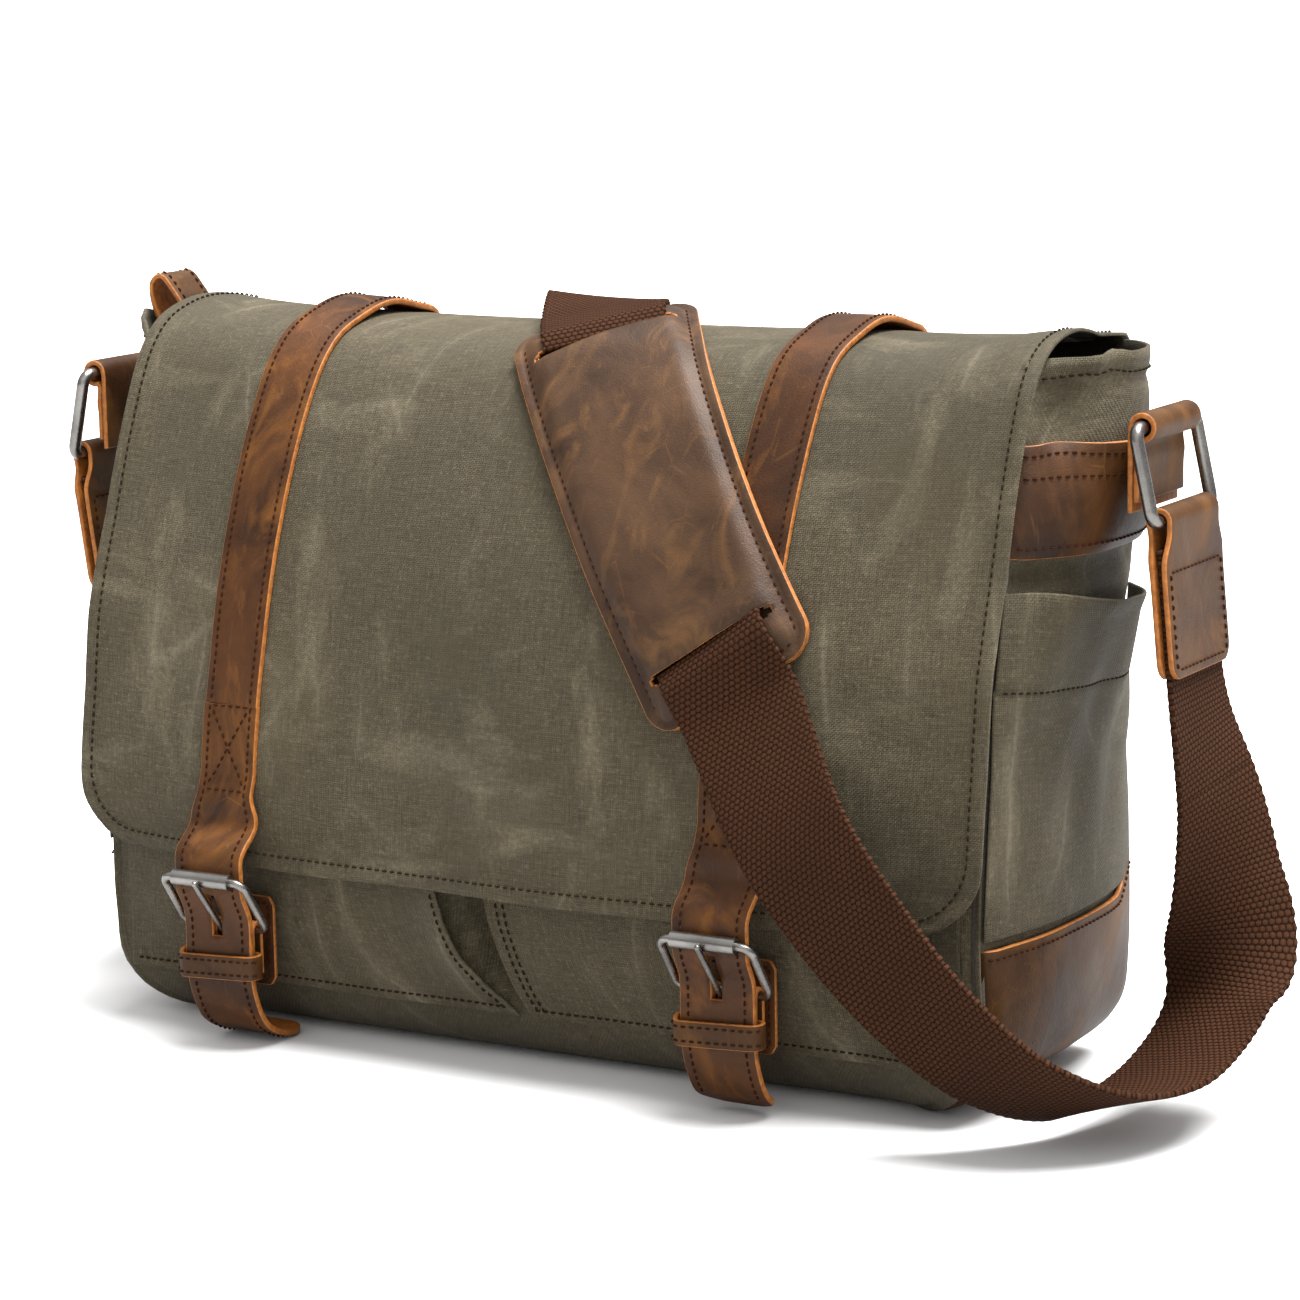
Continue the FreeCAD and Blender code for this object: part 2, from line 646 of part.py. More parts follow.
def front_run():
    """From the right ring down to the floor, round and up to the pad's lower slot."""
    return [
        (ring_end(1, 10), (0, 1, 0)),
        (ring_end(1, 30), (0, 1, 0)),
        (ring_end(1, 50), (0, 1, 0)),
        (ring_end(1, 64), (0, 1, 0)),
        ((256, 4, 146), (0.05, 1, 0.05)),
        ((261, 8, 118), (0.25, 0.95, 0.13)),
        ((263, 12, 88), (0.5, 0.85, 0.18)),
        ((264, 14, 62), (0.85, 0.45, 0.22)),
        ((263, 7, 43), (0.95, -0.1, 0.28)),
        ((261, -14, 29), (0.95, -0.24, 0.2)),
        ((256, -42, 20), (0.94, -0.28, 0.19)),
        ((244, -73, 18), (0.87, -0.32, 0.38)),
        ((221, -99, 32), (0.81, -0.33, 0.48)),
        ((195, -111, 56), (0.8, -0.24, 0.55)),
        ((168, -114, 85), (0.82, -0.11, 0.56)),
        ((142, -111, 116), (0.85, -0.03, 0.52)),
        ((120, -107, 149), (0.9, 0.04, 0.43)),
        ((110, -105, 166), (0.92, 0.07, 0.38)),
    ]


def back_run():
    """From the left ring down behind the bag and up over its top to the pad's upper slot."""
    return [
        (ring_end(-1, 10), (0, 1, 0)),
        (ring_end(-1, 30), (0, 1, 0)),
        (ring_end(-1, 50), (0, 1, 0)),
        (ring_end(-1, 64), (0, 1, 0)),
        ((-238, 8, 146), (0.15, 0.98, 0)),
        ((-238, 20, 124), (0.45, 0.88, -0.1)),
        ((-240, 40, 106), (0.75, 0.62, -0.2)),
        ((-233, 66, 93), (0.9, 0.3, -0.3)),
        ((-215, 86, 89), (0.9, 0.05, -0.42)),
        ((-190, 95, 100), (0.84, -0.1, -0.52)),
        ((-160, 95, 126), (0.8, -0.05, -0.6)),
        ((-126, 95, 164), (0.8, 0, -0.6)),
        ((-92, 91, 204), (0.82, 0.05, -0.57)),
        ((-62, 85, 244), (0.84, 0.15, -0.5)),
        ((-40, 72, 281), (0.85, 0.3, -0.42)),
        ((-24, 48, 304), (0.85, 0.5, -0.15)),
        ((-6, 18, 307), (0.84, 0.54, 0)),
        ((8, -6, 305), (0.84, 0.54, 0.05)),
    ]


def pad_point(s, w):
    """Point of the flap under the shoulder pad, `s` down the pad from its top and `w` across it."""
    lean = math.radians(PAD_LEAN)
    x = PAD_TOP_X + s * math.sin(lean) + w * math.cos(lean)
    run = PAD_TOP_RUN + s * math.cos(lean) - w * math.sin(lean)
    u = (x / FLAP_HALF + 1) / 2
    v, last = 0.02, flap_point(u, 0.02)
    while run > 0 and v < 1:
        ahead = flap_point(u, v + 0.01)
        step = (ahead - last).Length
        v += 0.01 * min(1.0, run / step)
        run -= step
        last = ahead
    return flap_point(u, v)


def pad_layer(length, half, thickness, lift, start=0.0):
    def point(u, v):
        return pad_point(lerp(start, start + length, u), lerp(-half, half, v))

    return sheet(point, thickness, 25, 7, lift)


def shoulder_pad_back():
    return pad_layer(PAD_L, PAD_HALF, PAD_LEATHER, PAD_LIFT)


def shoulder_pad_face():
    """The pad's outer leather, with a slot near each end for the webbing."""
    pad = pad_layer(PAD_L, PAD_HALF, PAD_LEATHER, PAD_LIFT + PAD_LEATHER + WEBBING + 1.6)
    for at in (PAD_SLOT, PAD_L - PAD_SLOT):
        centre = pad_point(at, 0)
        across = pad_point(at, 5) - pad_point(at, -5)
        down = pad_point(at + 2, 0) - pad_point(at - 2, 0)
        out = down.cross(across)
        turn = FreeCAD.Rotation(across, out.cross(across), out, "ZXY")
        cutter = slab(-SLOT_L / 2, SLOT_L / 2, -2.2, 2.2, -20, 20)
        cutter.Placement = FreeCAD.Placement(centre, turn)
        pad = pad.cut(cutter)
    return pad


def webbing_middle():
    """Webbing between the pad's two layers."""
    start = PAD_SLOT + 6
    return pad_layer(PAD_L - 2 * start, WEB_W / 2, WEBBING, PAD_LIFT + PAD_LEATHER + 0.8, start)


def slider():
    """Three-bar slide that sets the strap's length, on the run behind the bag."""
    frame = slab(-31, 31, -15, 15, -1.2, 1.2)
    frame = frame.makeFillet(3, [e for e in frame.Edges if abs(e.tangentAt(e.FirstParameter).z) > 0.99])
    for y in (-8.4, 8.4):
        frame = frame.cut(slab(-26.5, 26.5, y - 4.4, y + 4.4, -2, 2))
    centre, across, run = web_frame(back_run(), SLIDER_AT)
    out = across.cross(run)
    if out.y < 0:
        out = out * -1
    frame.Placement = FreeCAD.Placement(centre + out * (WEBBING / 2 + 1.9),
                                        FreeCAD.Rotation(across, run, out, "ZXY"))
    return frame


def hanging_loop():
    """Leather loop that stands out of the bag's left end, both ends sewn inside the lining's rim."""
    path = [(-176, 262), (-190, 274), (-203, 284.5), (-212, 296), (-218.5, 302.5), (-223.5, 299),
            (-222, 288), (-214, 275), (-208, 262)]
    loop = strip_x(path, LEATHER, 0, 22)
    loop.rotate(V(0, 0, 0), V(0, 0, 1), -90)
    loop.translate(V(0, 12, 0))
    return loop


# ---------------------------------------------------------------- assembly
def build():
    nodes = {
        "front_panel": front_panel(),
        "back_panel": back_panel(),
        "left_gusset": gusset(-1),
        "right_gusset": gusset(1),
        "bottom_panel": bottom_panel(),
        "lining": lining(),
        "base_board": base_board(),
        "laptop_divider": laptop_divider(),
        "divider_tab": divider_tab(),
        "left_front_pocket": pocket(-191, -12),
        "right_front_pocket": pocket(-3, 191),
        "flap_seam_band": flap_seam_band(),
        "flap_shell": flap_shell(),
        "flap_lining": flap_lining(),
        "slider": slider(),
        "hanging_loop": hanging_loop(),
        "shoulder_pad_back": shoulder_pad_back(),
        "shoulder_pad_face": shoulder_pad_face(),
        "webbing_middle": webbing_middle(),
        "webbing_front": webbing(front_run(), 47),
        "webbing_back": webbing(back_run(), 47),
    }
    for name, side in (("left", -1), ("right", 1)):
        nodes[f"{name}_side_pocket"] = side_pocket(side)
        nodes[f"{name}_corner_guard"] = corner_guard(side)
        nodes[f"{name}_side_band"] = side_band(side)
        nodes[f"{name}_ring_chape"] = ring_chape(side)
        nodes[f"{name}_ring"] = strap_ring(side)
        nodes[f"{name}_strap_tab"] = strap_tab(side)
    for name, x in STRAP_X.items():
        nodes[f"{name}_flap_strap"] = flap_strap(x)
        nodes[f"{name}_strap_anchor"] = strap_anchor(x)
        nodes[f"{name}_strap_tongue"] = strap_tongue(x)
        nodes[f"{name}_buckle_frame"] = buckle_frame(x)
        nodes[f"{name}_buckle_roller"] = buckle_roller(x)
        nodes[f"{name}_buckle_prong"] = buckle_prong(x)
        nodes[f"{name}_buckle_chape"] = buckle_chape(x)
        nodes[f"{name}_keeper"] = keeper(x)
        nodes[f"{name}_snap_stud"] = snap_stud(x)
        nodes[f"{name}_snap_socket"] = snap_socket(x)
        nodes[f"{name}_snap_patch"] = snap_patch(x)
    return nodes


if __name__ == "__main__":
    os.makedirs("parts", exist_ok=True)
    for node, shape in build().items():
        shape.exportStep(f"parts/{node}.step")
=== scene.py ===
import bpy
import bmesh
import math
import numpy as np
from mathutils import Vector, Matrix
from mathutils.bvhtree import BVHTree
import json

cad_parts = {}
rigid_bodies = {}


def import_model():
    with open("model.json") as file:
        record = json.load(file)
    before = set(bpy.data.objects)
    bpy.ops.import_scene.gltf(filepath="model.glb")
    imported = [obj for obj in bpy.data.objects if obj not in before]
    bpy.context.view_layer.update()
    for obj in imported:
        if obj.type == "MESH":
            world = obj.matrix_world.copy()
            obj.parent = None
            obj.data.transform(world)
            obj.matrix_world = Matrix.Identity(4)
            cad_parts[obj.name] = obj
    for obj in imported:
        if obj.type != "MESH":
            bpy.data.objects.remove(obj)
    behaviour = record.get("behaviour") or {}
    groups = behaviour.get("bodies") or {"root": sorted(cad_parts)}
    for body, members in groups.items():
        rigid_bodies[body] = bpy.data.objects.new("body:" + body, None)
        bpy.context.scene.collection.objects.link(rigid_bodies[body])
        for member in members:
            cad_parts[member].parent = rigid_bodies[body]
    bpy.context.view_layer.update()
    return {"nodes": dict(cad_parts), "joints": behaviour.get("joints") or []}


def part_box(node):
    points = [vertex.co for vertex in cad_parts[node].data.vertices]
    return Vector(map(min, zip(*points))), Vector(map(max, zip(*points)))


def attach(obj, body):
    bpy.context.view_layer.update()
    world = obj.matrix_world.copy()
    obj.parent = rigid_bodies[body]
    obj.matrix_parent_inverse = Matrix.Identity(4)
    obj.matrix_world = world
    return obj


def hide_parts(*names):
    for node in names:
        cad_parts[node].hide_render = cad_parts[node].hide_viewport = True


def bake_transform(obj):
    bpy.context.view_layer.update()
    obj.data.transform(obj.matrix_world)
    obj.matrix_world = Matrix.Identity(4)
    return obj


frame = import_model()
MM = 0.001
for start_object in list(bpy.data.objects):
    if start_object.name in ("Cube", "Light", "Camera"):
        bpy.data.objects.remove(start_object)


# ------------------------------------------------ small maths
def vec(p):
    return np.array(p, float)


def smooth(t):
    t = np.clip(t, 0, 1)
    return t * t * (3 - 2 * t)


def unit(a):
    return a / np.maximum(np.linalg.norm(a, axis=-1, keepdims=True), 1e-12)


def box(node):
    lo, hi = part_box(node)
    return vec(lo), vec(hi)


def bump(x, centre, width):
    return np.exp(-((x - centre) / width) ** 2)


def corner_inset(gap, r):
    """How far a corner of radius r has drawn in at a distance `gap` from the end."""
    return np.where(gap < r, r - np.sqrt(np.maximum(r**2 - (r - gap) ** 2, 0)), 0)


def round_corners(A, gap, half, r):
    """Positions across a sheet of half width `half`, squeezed so that its corners are round."""
    inner = half - 2.4 * r
    t = np.abs(A)
    out = inner + (t - inner) * (half - corner_inset(gap, r) - inner) / (half - inner)
    return np.sign(A) * np.where(t > inner, out, t)


def tree(node):
    mesh = frame["nodes"][node].data
    return BVHTree.FromPolygons([v.co for v in mesh.vertices], [p.vertices for p in mesh.polygons])


def cast(bvh, start, direction, span=1.0):
    hit = bvh.ray_cast(Vector(start), Vector(direction), span)
    return None if hit[0] is None else vec(hit[0])


def noise2(a, b, scale, seed, octaves=3):
    """Smooth 2-D noise at points (a, b) in metres; `scale` is the largest feature's size."""
    r = np.random.default_rng(seed)
    out = np.zeros(np.broadcast(a, b).shape)
    for k in range(octaves):
        s = scale / 2 ** k
        n = 64
        table = r.uniform(-1, 1, (n, n))
        x, y = a / s + 31.7, b / s + 17.3
        i, j = np.floor(x).astype(int), np.floor(y).astype(int)
        fx, fy = smooth(x - i), smooth(y - j)
        g = lambda p, q: table[p % n, q % n]
        out += ((g(i, j) * (1 - fx) + g(i + 1, j) * fx) * (1 - fy)
                + (g(i, j + 1) * (1 - fx) + g(i + 1, j + 1) * fx) * fy) / 2 ** k
    return out


# ------------------------------------------------ materials
class Nodes:
    """Short way to write a node tree."""

    def __init__(self, name):
        self.mat = bpy.data.materials.new(name)
        self.mat.use_nodes = True
        self.t = self.mat.node_tree
        self.bsdf = self.t.nodes["Principled BSDF"]

    def add(self, kind, **settings):
        n = self.t.nodes.new("ShaderNode" + kind)
        for k, v in settings.items():
            if k in n.inputs:
                self.feed(n.inputs[k], v)
            else:
                setattr(n, k, v)
        return n

    def feed(self, socket, v):
        if isinstance(v, bpy.types.NodeSocket):
            self.t.links.new(v, socket)
        else:
            socket.default_value = v

    def math(self, op, a, b=0.0, c=None):
        n = self.t.nodes.new("ShaderNodeMath")
        n.operation = op
        self.feed(n.inputs[0], a)
        self.feed(n.inputs[1], b)
        if c is not None:
            self.feed(n.inputs[2], c)
        return n.outputs[0]

    def mix(self, fac, a, b, mode="MIX"):
        n = self.t.nodes.new("ShaderNodeMix")
        n.data_type = "RGBA"
        n.blend_type = mode
        self.feed(n.inputs[0], fac)
        self.feed(n.inputs[6], a)
        self.feed(n.inputs[7], b)
        return n.outputs[2]

    def remap(self, v, lo, hi, to_lo=0.0, to_hi=1.0):
        n = self.t.nodes.new("ShaderNodeMapRange")
        for i, x in enumerate((v, lo, hi, to_lo, to_hi)):
            self.feed(n.inputs[i], x)
        return n.outputs[0]

    def noise(self, coord, scale, detail=4.0, rough=0.55, distortion=0.0):
        n = self.add("TexNoise", Scale=scale, Detail=detail, Roughness=rough, Distortion=distortion)
        self.feed(n.inputs["Vector"], coord)
        return n.outputs["Fac"]

    def cloud(self, kind, scale, detail=4.0, rough=0.55, distortion=0.0, turn=0.0):
        """Noise stretched by `scale` along the axes of the UV map or of the object."""
        return self.noise(self.coords(kind, scale, turn), 1.0, detail, rough, distortion)

    def cells(self, feature, coord, scale=1.0):
        n = self.add("TexVoronoi", feature=feature)
        self.feed(n.inputs["Vector"], coord)
        n.inputs["Scale"].default_value = scale
        return n.outputs["Distance"]

    def coords(self, kind="UV", scale=(1, 1, 1), turn=0.0):
        c = self.add("TexCoord")
        m = self.t.nodes.new("ShaderNodeMapping")
        self.feed(m.inputs[0], c.outputs[kind])
        m.inputs["Scale"].default_value = scale
        m.inputs["Rotation"].default_value = (0, 0, turn)
        return m.outputs[0]

    def bump(self, height, distance, strength=1.0, normal=None):
        n = self.add("Bump", Strength=strength, Distance=distance)
        self.feed(n.inputs["Height"], height)
        if normal is not None:
            self.feed(n.inputs["Normal"], normal)
        return n.outputs[0]

    def done(self, colour, rough, normal=None, **more):
        self.feed(self.bsdf.inputs["Base Color"], colour)
        self.feed(self.bsdf.inputs["Roughness"], rough)
        if normal is not None:
            self.feed(self.bsdf.inputs["Normal"], normal)
        for k, v in more.items():
            self.feed(self.bsdf.inputs[k.replace("_", " ")], v)
        return self.mat


def canvas_material(name, tone=1.0, creases=True):
    """Waxed canvas: fine plain weave, worn pale creases, faint yellow patches, soft sheen."""
    m = Nodes(name)

    def tint(*rgb):
        return (*[c * tone for c in rgb], 1)

    uv = m.coords("UV")
    pitch = 1 / 0.00085         # warp yarns per metre
    sep = m.add("SeparateXYZ")
    m.feed(sep.inputs[0], uv)
    wob = m.noise(uv, 260.0, 2.0)
    u = m.math("ADD", m.math("MULTIPLY", sep.outputs[0], pitch), wob)
    v = m.math("ADD", m.math("MULTIPLY", sep.outputs[1], pitch * 1.1), wob)
    warp = m.math("ABSOLUTE", m.math("SINE", m.math("MULTIPLY", u, math.pi)))
    weft = m.math("ABSOLUTE", m.math("SINE", m.math("MULTIPLY", v, math.pi)))
    odd = m.math("PINGPONG", m.math("ADD", m.math("FLOOR", u), m.math("FLOOR", v)), 1.0)
    weave = m.math("ADD", m.math("MULTIPLY", warp, odd),
                   m.math("MULTIPLY", weft, m.math("SUBTRACT", 1.0, odd)))
    slub = m.cloud("UV", (90, 1400, 1), 3.0)
    slub2 = m.cloud("UV", (1400, 90, 1), 3.0)
    yarn = m.math("MULTIPLY", m.math("ADD", slub, slub2), 0.5)
    base = m.mix(m.remap(yarn, 0.34, 0.66), tint(0.050, 0.039, 0.020), tint(0.140, 0.112, 0.063))
    base = m.mix(m.remap(weave, 0.05, 0.70), tint(0.018, 0.014, 0.007), base)
    fleck = m.cloud("UV", (520, 520, 520), 3.0, 0.7)
    base = m.mix(m.remap(fleck, 0.54, 0.72, 0.0, 0.55), base, tint(0.210, 0.172, 0.105))
    patch = m.cloud("UV", (14, 14, 14), 4.0, 0.65)
    base = m.mix(m.remap(patch, 0.50, 0.78, 0.0, 0.50), base, tint(0.145, 0.104, 0.044))
    shade = m.cloud("UV", (7, 7, 7), 4.0, 0.6)
    base = m.mix(m.remap(shade, 0.40, 0.68, 0.0, 0.62), base, tint(0.030, 0.026, 0.015))
    rub = m.cloud("UV", (12, 34, 1), 4.0, 0.6, 0.4, turn=0.75)
    rub2 = m.cloud("UV", (30, 11, 1), 4.0, 0.6, 0.4, turn=0.5)
    pale = m.math("MULTIPLY", m.remap(m.math("MAXIMUM", rub, rub2), 0.56, 0.74),
                  m.remap(fleck, 0.3, 0.6, 0.3, 1.0))
    base = m.mix(m.math("MULTIPLY", pale, 0.44), base, (0.25, 0.21, 0.135, 1))
    if creases:
        # pale broken lines where the waxed cloth has been folded
        total = None
        for turn, size, seed in ((0.9, 13.0, 0.0), (-0.35, 17.0, 3.1), (2.1, 24.0, 7.7)):
            c = m.coords("UV", (size, size * 0.42, 1), turn)
            shift = m.add("VectorMath", operation="ADD")
            m.feed(shift.inputs[0], c)
            shift.inputs[1].default_value = (seed, seed * 1.7, 0)
            warped = m.add("TexNoise", Scale=1.6, Detail=2.0)
            m.feed(warped.inputs["Vector"], shift.outputs[0])
            mixv = m.add("VectorMath", operation="MULTIPLY_ADD")
            m.feed(mixv.inputs[0], warped.outputs["Color"])
            mixv.inputs[1].default_value = (0.22, 0.22, 0)
            m.feed(mixv.inputs[2], shift.outputs[0])
            crease = m.cells("DISTANCE_TO_EDGE", mixv.outputs[0])
            line = m.remap(crease, 0.0, 0.030, 1.0, 0.0)
            halo = m.remap(crease, 0.0, 0.10, 0.42, 0.0)
            line = m.math("MAXIMUM", line, halo)
            where = m.remap(m.noise(m.coords("UV", (10, 10, 10), turn), 1.0, 2.0), 0.53, 0.66)
            part = m.math("MULTIPLY", line, where)
            total = part if total is None else m.math("MAXIMUM", total, part)
        grain = m.remap(m.cloud("UV", (420, 420, 420), 2.0), 0.30, 0.55, 0.35, 1.0)
        base = m.mix(m.math("MULTIPLY", m.math("MULTIPLY", total, grain), 0.40), base,
                     tint(0.31, 0.265, 0.18))
    height = m.math("ADD", weave, m.math("MULTIPLY", yarn, 0.8))
    normal = m.bump(height, 0.00022, 0.75)
    normal = m.bump(m.cloud("UV", (60, 60, 60), 3.0), 0.0012, 0.35, normal)
    rough = m.remap(patch, 0.3, 0.8, 0.74, 0.58)
    return m.done(base, rough, normal, Sheen_Weight=0.05, Specular_IOR_Level=0.22)


def leather_material(name, dark, mid, hot):
    """Oiled pull-up leather: uneven brown, orange where it has been bent or rubbed, fine scratches."""
    m = Nodes(name)
    o = m.coords("Object")
    cloud = m.cloud("Object", (22, 22, 22), 5.0, 0.6, 0.6)
    base = m.mix(m.remap(cloud, 0.36, 0.66), (*dark, 1), (*mid, 1))
    glow = m.cloud("Object", (38, 30, 17), 4.0, 0.65, 1.2)
    base = m.mix(m.remap(glow, 0.50, 0.78, 0.0, 0.75), base, (*hot, 1))
    streak = m.cloud("Object", (240, 240, 26), 3.0, 0.7, 0.5)
    base = m.mix(m.remap(streak, 0.62, 0.80, 0.0, 0.30), base, (0.21, 0.10, 0.038, 1))
    scratch = m.cells("DISTANCE_TO_EDGE", m.coords("Object", (60, 60, 36), 0.5))
    line = m.remap(scratch, 0.0, 0.018, 1.0, 0.0)
    some = m.remap(m.noise(o, 34.0, 2.0), 0.55, 0.68)
    base = m.mix(m.math("MULTIPLY", m.math("MULTIPLY", line, some), 0.14), base, (0.36, 0.17, 0.055, 1))
    pore = m.cells("F1", o, 1500.0)
    fine = m.noise(o, 900.0, 3.0)
    normal = m.bump(m.math("ADD", pore, fine), 0.00016, 0.5)
    normal = m.bump(cloud, 0.0022, 0.30, normal)
    rough = m.remap(glow, 0.3, 0.8, 0.44, 0.60)
    return m.done(base, rough, normal, Specular_IOR_Level=0.20)


def edge_material():
    """Raw cut edge of the leather."""
    m = Nodes("leather_edge")
    n = m.noise(m.coords("Object"), 420.0, 4.0)
    base = m.mix(m.remap(n, 0.3, 0.7), (0.24, 0.070, 0.009, 1), (0.46, 0.160, 0.022, 1))
    return m.done(base, 0.62, m.bump(n, 0.0003, 0.6))


def webbing_material():
    """Heavy cotton webbing with a basket weave."""
    m = Nodes("webbing_cotton")
    uv = m.coords("UV")
    sep = m.add("SeparateXYZ")
    m.feed(sep.inputs[0], uv)
    a = m.math("MULTIPLY", sep.outputs[0], 1 / 0.0026)
    b = m.math("MULTIPLY", sep.outputs[1], 1 / 0.00205)
    row = m.math("PINGPONG", m.math("FLOOR", b), 1.0)
    a = m.math("ADD", a, m.math("MULTIPLY", row, 0.5))
    fa = m.math("SUBTRACT", m.math("FRACT", a), 0.5)
    fb = m.math("SUBTRACT", m.math("FRACT", b), 0.5)
    ea = m.math("POWER", m.math("ABSOLUTE", m.math("MULTIPLY", fa, 2.0)), 2.2)
    eb = m.math("POWER", m.math("ABSOLUTE", m.math("MULTIPLY", fb, 2.0)), 2.6)
    knot = m.math("SUBTRACT", 1.0, m.math("MINIMUM", m.math("ADD", ea, eb), 1.0))
    knot = m.math("POWER", knot, 0.55)
    fibre = m.cloud("UV", (2600, 700, 1), 3.0)
    tone = m.cloud("UV", (30, 30, 1), 3.0)
    base = m.mix(knot, (0.004, 0.0016, 0.0008, 1), (0.052, 0.021, 0.010, 1))
    base = m.mix(m.remap(fibre, 0.4, 0.7, 0.0, 0.35), base, (0.100, 0.044, 0.023, 1))
    base = m.mix(m.remap(tone, 0.35, 0.7, 0.0, 0.3), base, (0.022, 0.009, 0.005, 1))
    normal = m.bump(m.math("ADD", knot, m.math("MULTIPLY", fibre, 0.35)), 0.0006, 0.9)
    return m.done(base, 0.85, normal, Specular_IOR_Level=0.05)


def thread_material(name, colour):
    m = Nodes(name)
    n = m.noise(m.coords("Object"), 1500.0, 2.0)
    shadow, light = [(*[c * k for c in colour], 1) for k in (0.65, 1.25)]
    base = m.mix(m.remap(n, 0.3, 0.7), shadow, light)
    return m.done(base, 0.85, m.bump(n, 0.0002, 0.5), Specular_IOR_Level=0.08)


def metal_material():
    """Brushed nickel with a slightly warm, worn tone."""
    m = Nodes("brushed_nickel")
    n = m.cloud("Object", (90, 1600, 1600), 4.0)
    w = m.noise(m.coords("Object"), 55.0, 3.0)
    base = m.mix(m.remap(w, 0.35, 0.7), (0.20, 0.19, 0.18, 1), (0.36, 0.345, 0.325, 1))
    return m.done(base, m.remap(n, 0.3, 0.7, 0.24, 0.38), m.bump(n, 0.00006, 0.5), Metallic=1.0)


def lining_material():
    m = Nodes("lining_cotton")
    uv = m.coords("Object", (900, 900, 900))
    n = m.noise(uv, 1.0, 3.0)
    base = m.mix(m.remap(n, 0.3, 0.7), (0.030, 0.024, 0.016, 1), (0.070, 0.056, 0.038, 1))
    return m.done(base, 0.85, m.bump(n, 0.0003, 0.5), Sheen_Weight=0.2)


def board_material():
    m = Nodes("stiff_board")
    n = m.noise(m.coords("Object"), 300.0, 4.0)
    base = m.mix(m.remap(n, 0.3, 0.7), (0.020, 0.019, 0.018, 1), (0.040, 0.038, 0.036, 1))
    return m.done(base, 0.6, m.bump(n, 0.0003, 0.4))


CANVAS = canvas_material("waxed_canvas", 0.86)
# the same canvas darkened to 0.55 for the bag's insides and the sheets' backs: painted shade
CANVAS_IN_SHADED = canvas_material("waxed_canvas_inside", 0.55, creases=False)
LEATHER = leather_material(
    "oiled_leather", (0.030, 0.011, 0.0034), (0.084, 0.030, 0.0075), (0.20, 0.074, 0.012))
LEATHER_PAD = leather_material(
    "oiled_leather_pad", (0.034, 0.017, 0.009), (0.078, 0.040, 0.020), (0.17, 0.080, 0.026))
LEATHER_TAN = leather_material(
    "oiled_leather_tan", (0.034, 0.012, 0.003), (0.076, 0.032, 0.008), (0.17, 0.070, 0.015))
# the strap leather at about 0.6 of its colour for the side bands: painted shade for bands that sit in
# shade
LEATHER_SHADED_COPY = leather_material(
    "oiled_leather_dark", (0.020, 0.008, 0.003), (0.050, 0.020, 0.007), (0.12, 0.046, 0.011))
EDGE = edge_material()
WEB = webbing_material()
THREAD_CANVAS = thread_material("thread_olive", (0.020, 0.013, 0.006))
THREAD_LEATHER = thread_material("thread_brown", (0.034, 0.011, 0.005))
METAL = metal_material()
LINING = lining_material()
BOARD = board_material()

# face, edge and back of the sheets; the cloth's darkened back and the band's darkened leather are painted
# shade
CLOTH = [CANVAS, CANVAS, CANVAS_IN_SHADED]
BROWN, TAN = [LEATHER, EDGE, EDGE], [LEATHER_TAN, EDGE, EDGE]
BAND_IN_SHADE, PAD = [LEATHER_SHADED_COPY, EDGE, EDGE], [LEATHER_PAD, EDGE, EDGE]
TRIM_T, FOLD_T = 0.0022, 0.0018     # leather sewn on the bag, and the thinner leather that is folded
EDGE_R = 0.0008                     # how far in from a cut edge its rounding starts


# ------------------------------------------------ mesh building
def make_object(name, verts, faces, mats, face_mats=None, uvs=None, flat=False):
    mesh = bpy.data.meshes.new(name)
    mesh.from_pydata([tuple(v) for v in verts], [], [tuple(f) for f in faces])
    for mat in mats:
        mesh.materials.append(mat)
    if face_mats is not None:
        mesh.polygons.foreach_set("material_index", np.array(face_mats, np.int32))
    if uvs is not None:
        layer = mesh.uv_layers.new(name="UVMap")
        loops = np.zeros(len(mesh.loops), np.int32)
        mesh.loops.foreach_get("vertex_index", loops)
        layer.data.foreach_set("uv", np.asarray(uvs, np.float32)[loops].ravel())
    mesh.polygons.foreach_set("use_smooth", np.full(len(mesh.polygons), not flat))
    mesh.validate()
    mesh.update()
    obj = bpy.data.objects.new(name, mesh)
    bpy.context.scene.collection.objects.link(obj)
    return obj


def edge_rows(lo, hi, step, radius=0.0, extra=()):
    """Row positions from lo to hi, crowded at both ends so that the edges can be rounded."""
    near = [0.0, 0.15 * radius, 0.5 * radius, radius] if radius else [0.0]
    n = max(2, int(round((hi - lo - 2 * radius) / step)))
    middle = np.linspace(lo + radius, hi - radius, n + 1)[1:-1]
    rows = [lo + x for x in near] + list(middle) + [hi - x for x in near]
    for x in extra:
        rows[int(np.argmin(np.abs(np.array(rows) - x)))] = x
    return np.array(sorted(rows))


def normals_of(p):
    du = np.gradient(p, axis=0)
    dv = np.gradient(p, axis=1)
    return unit(np.cross(du, dv))


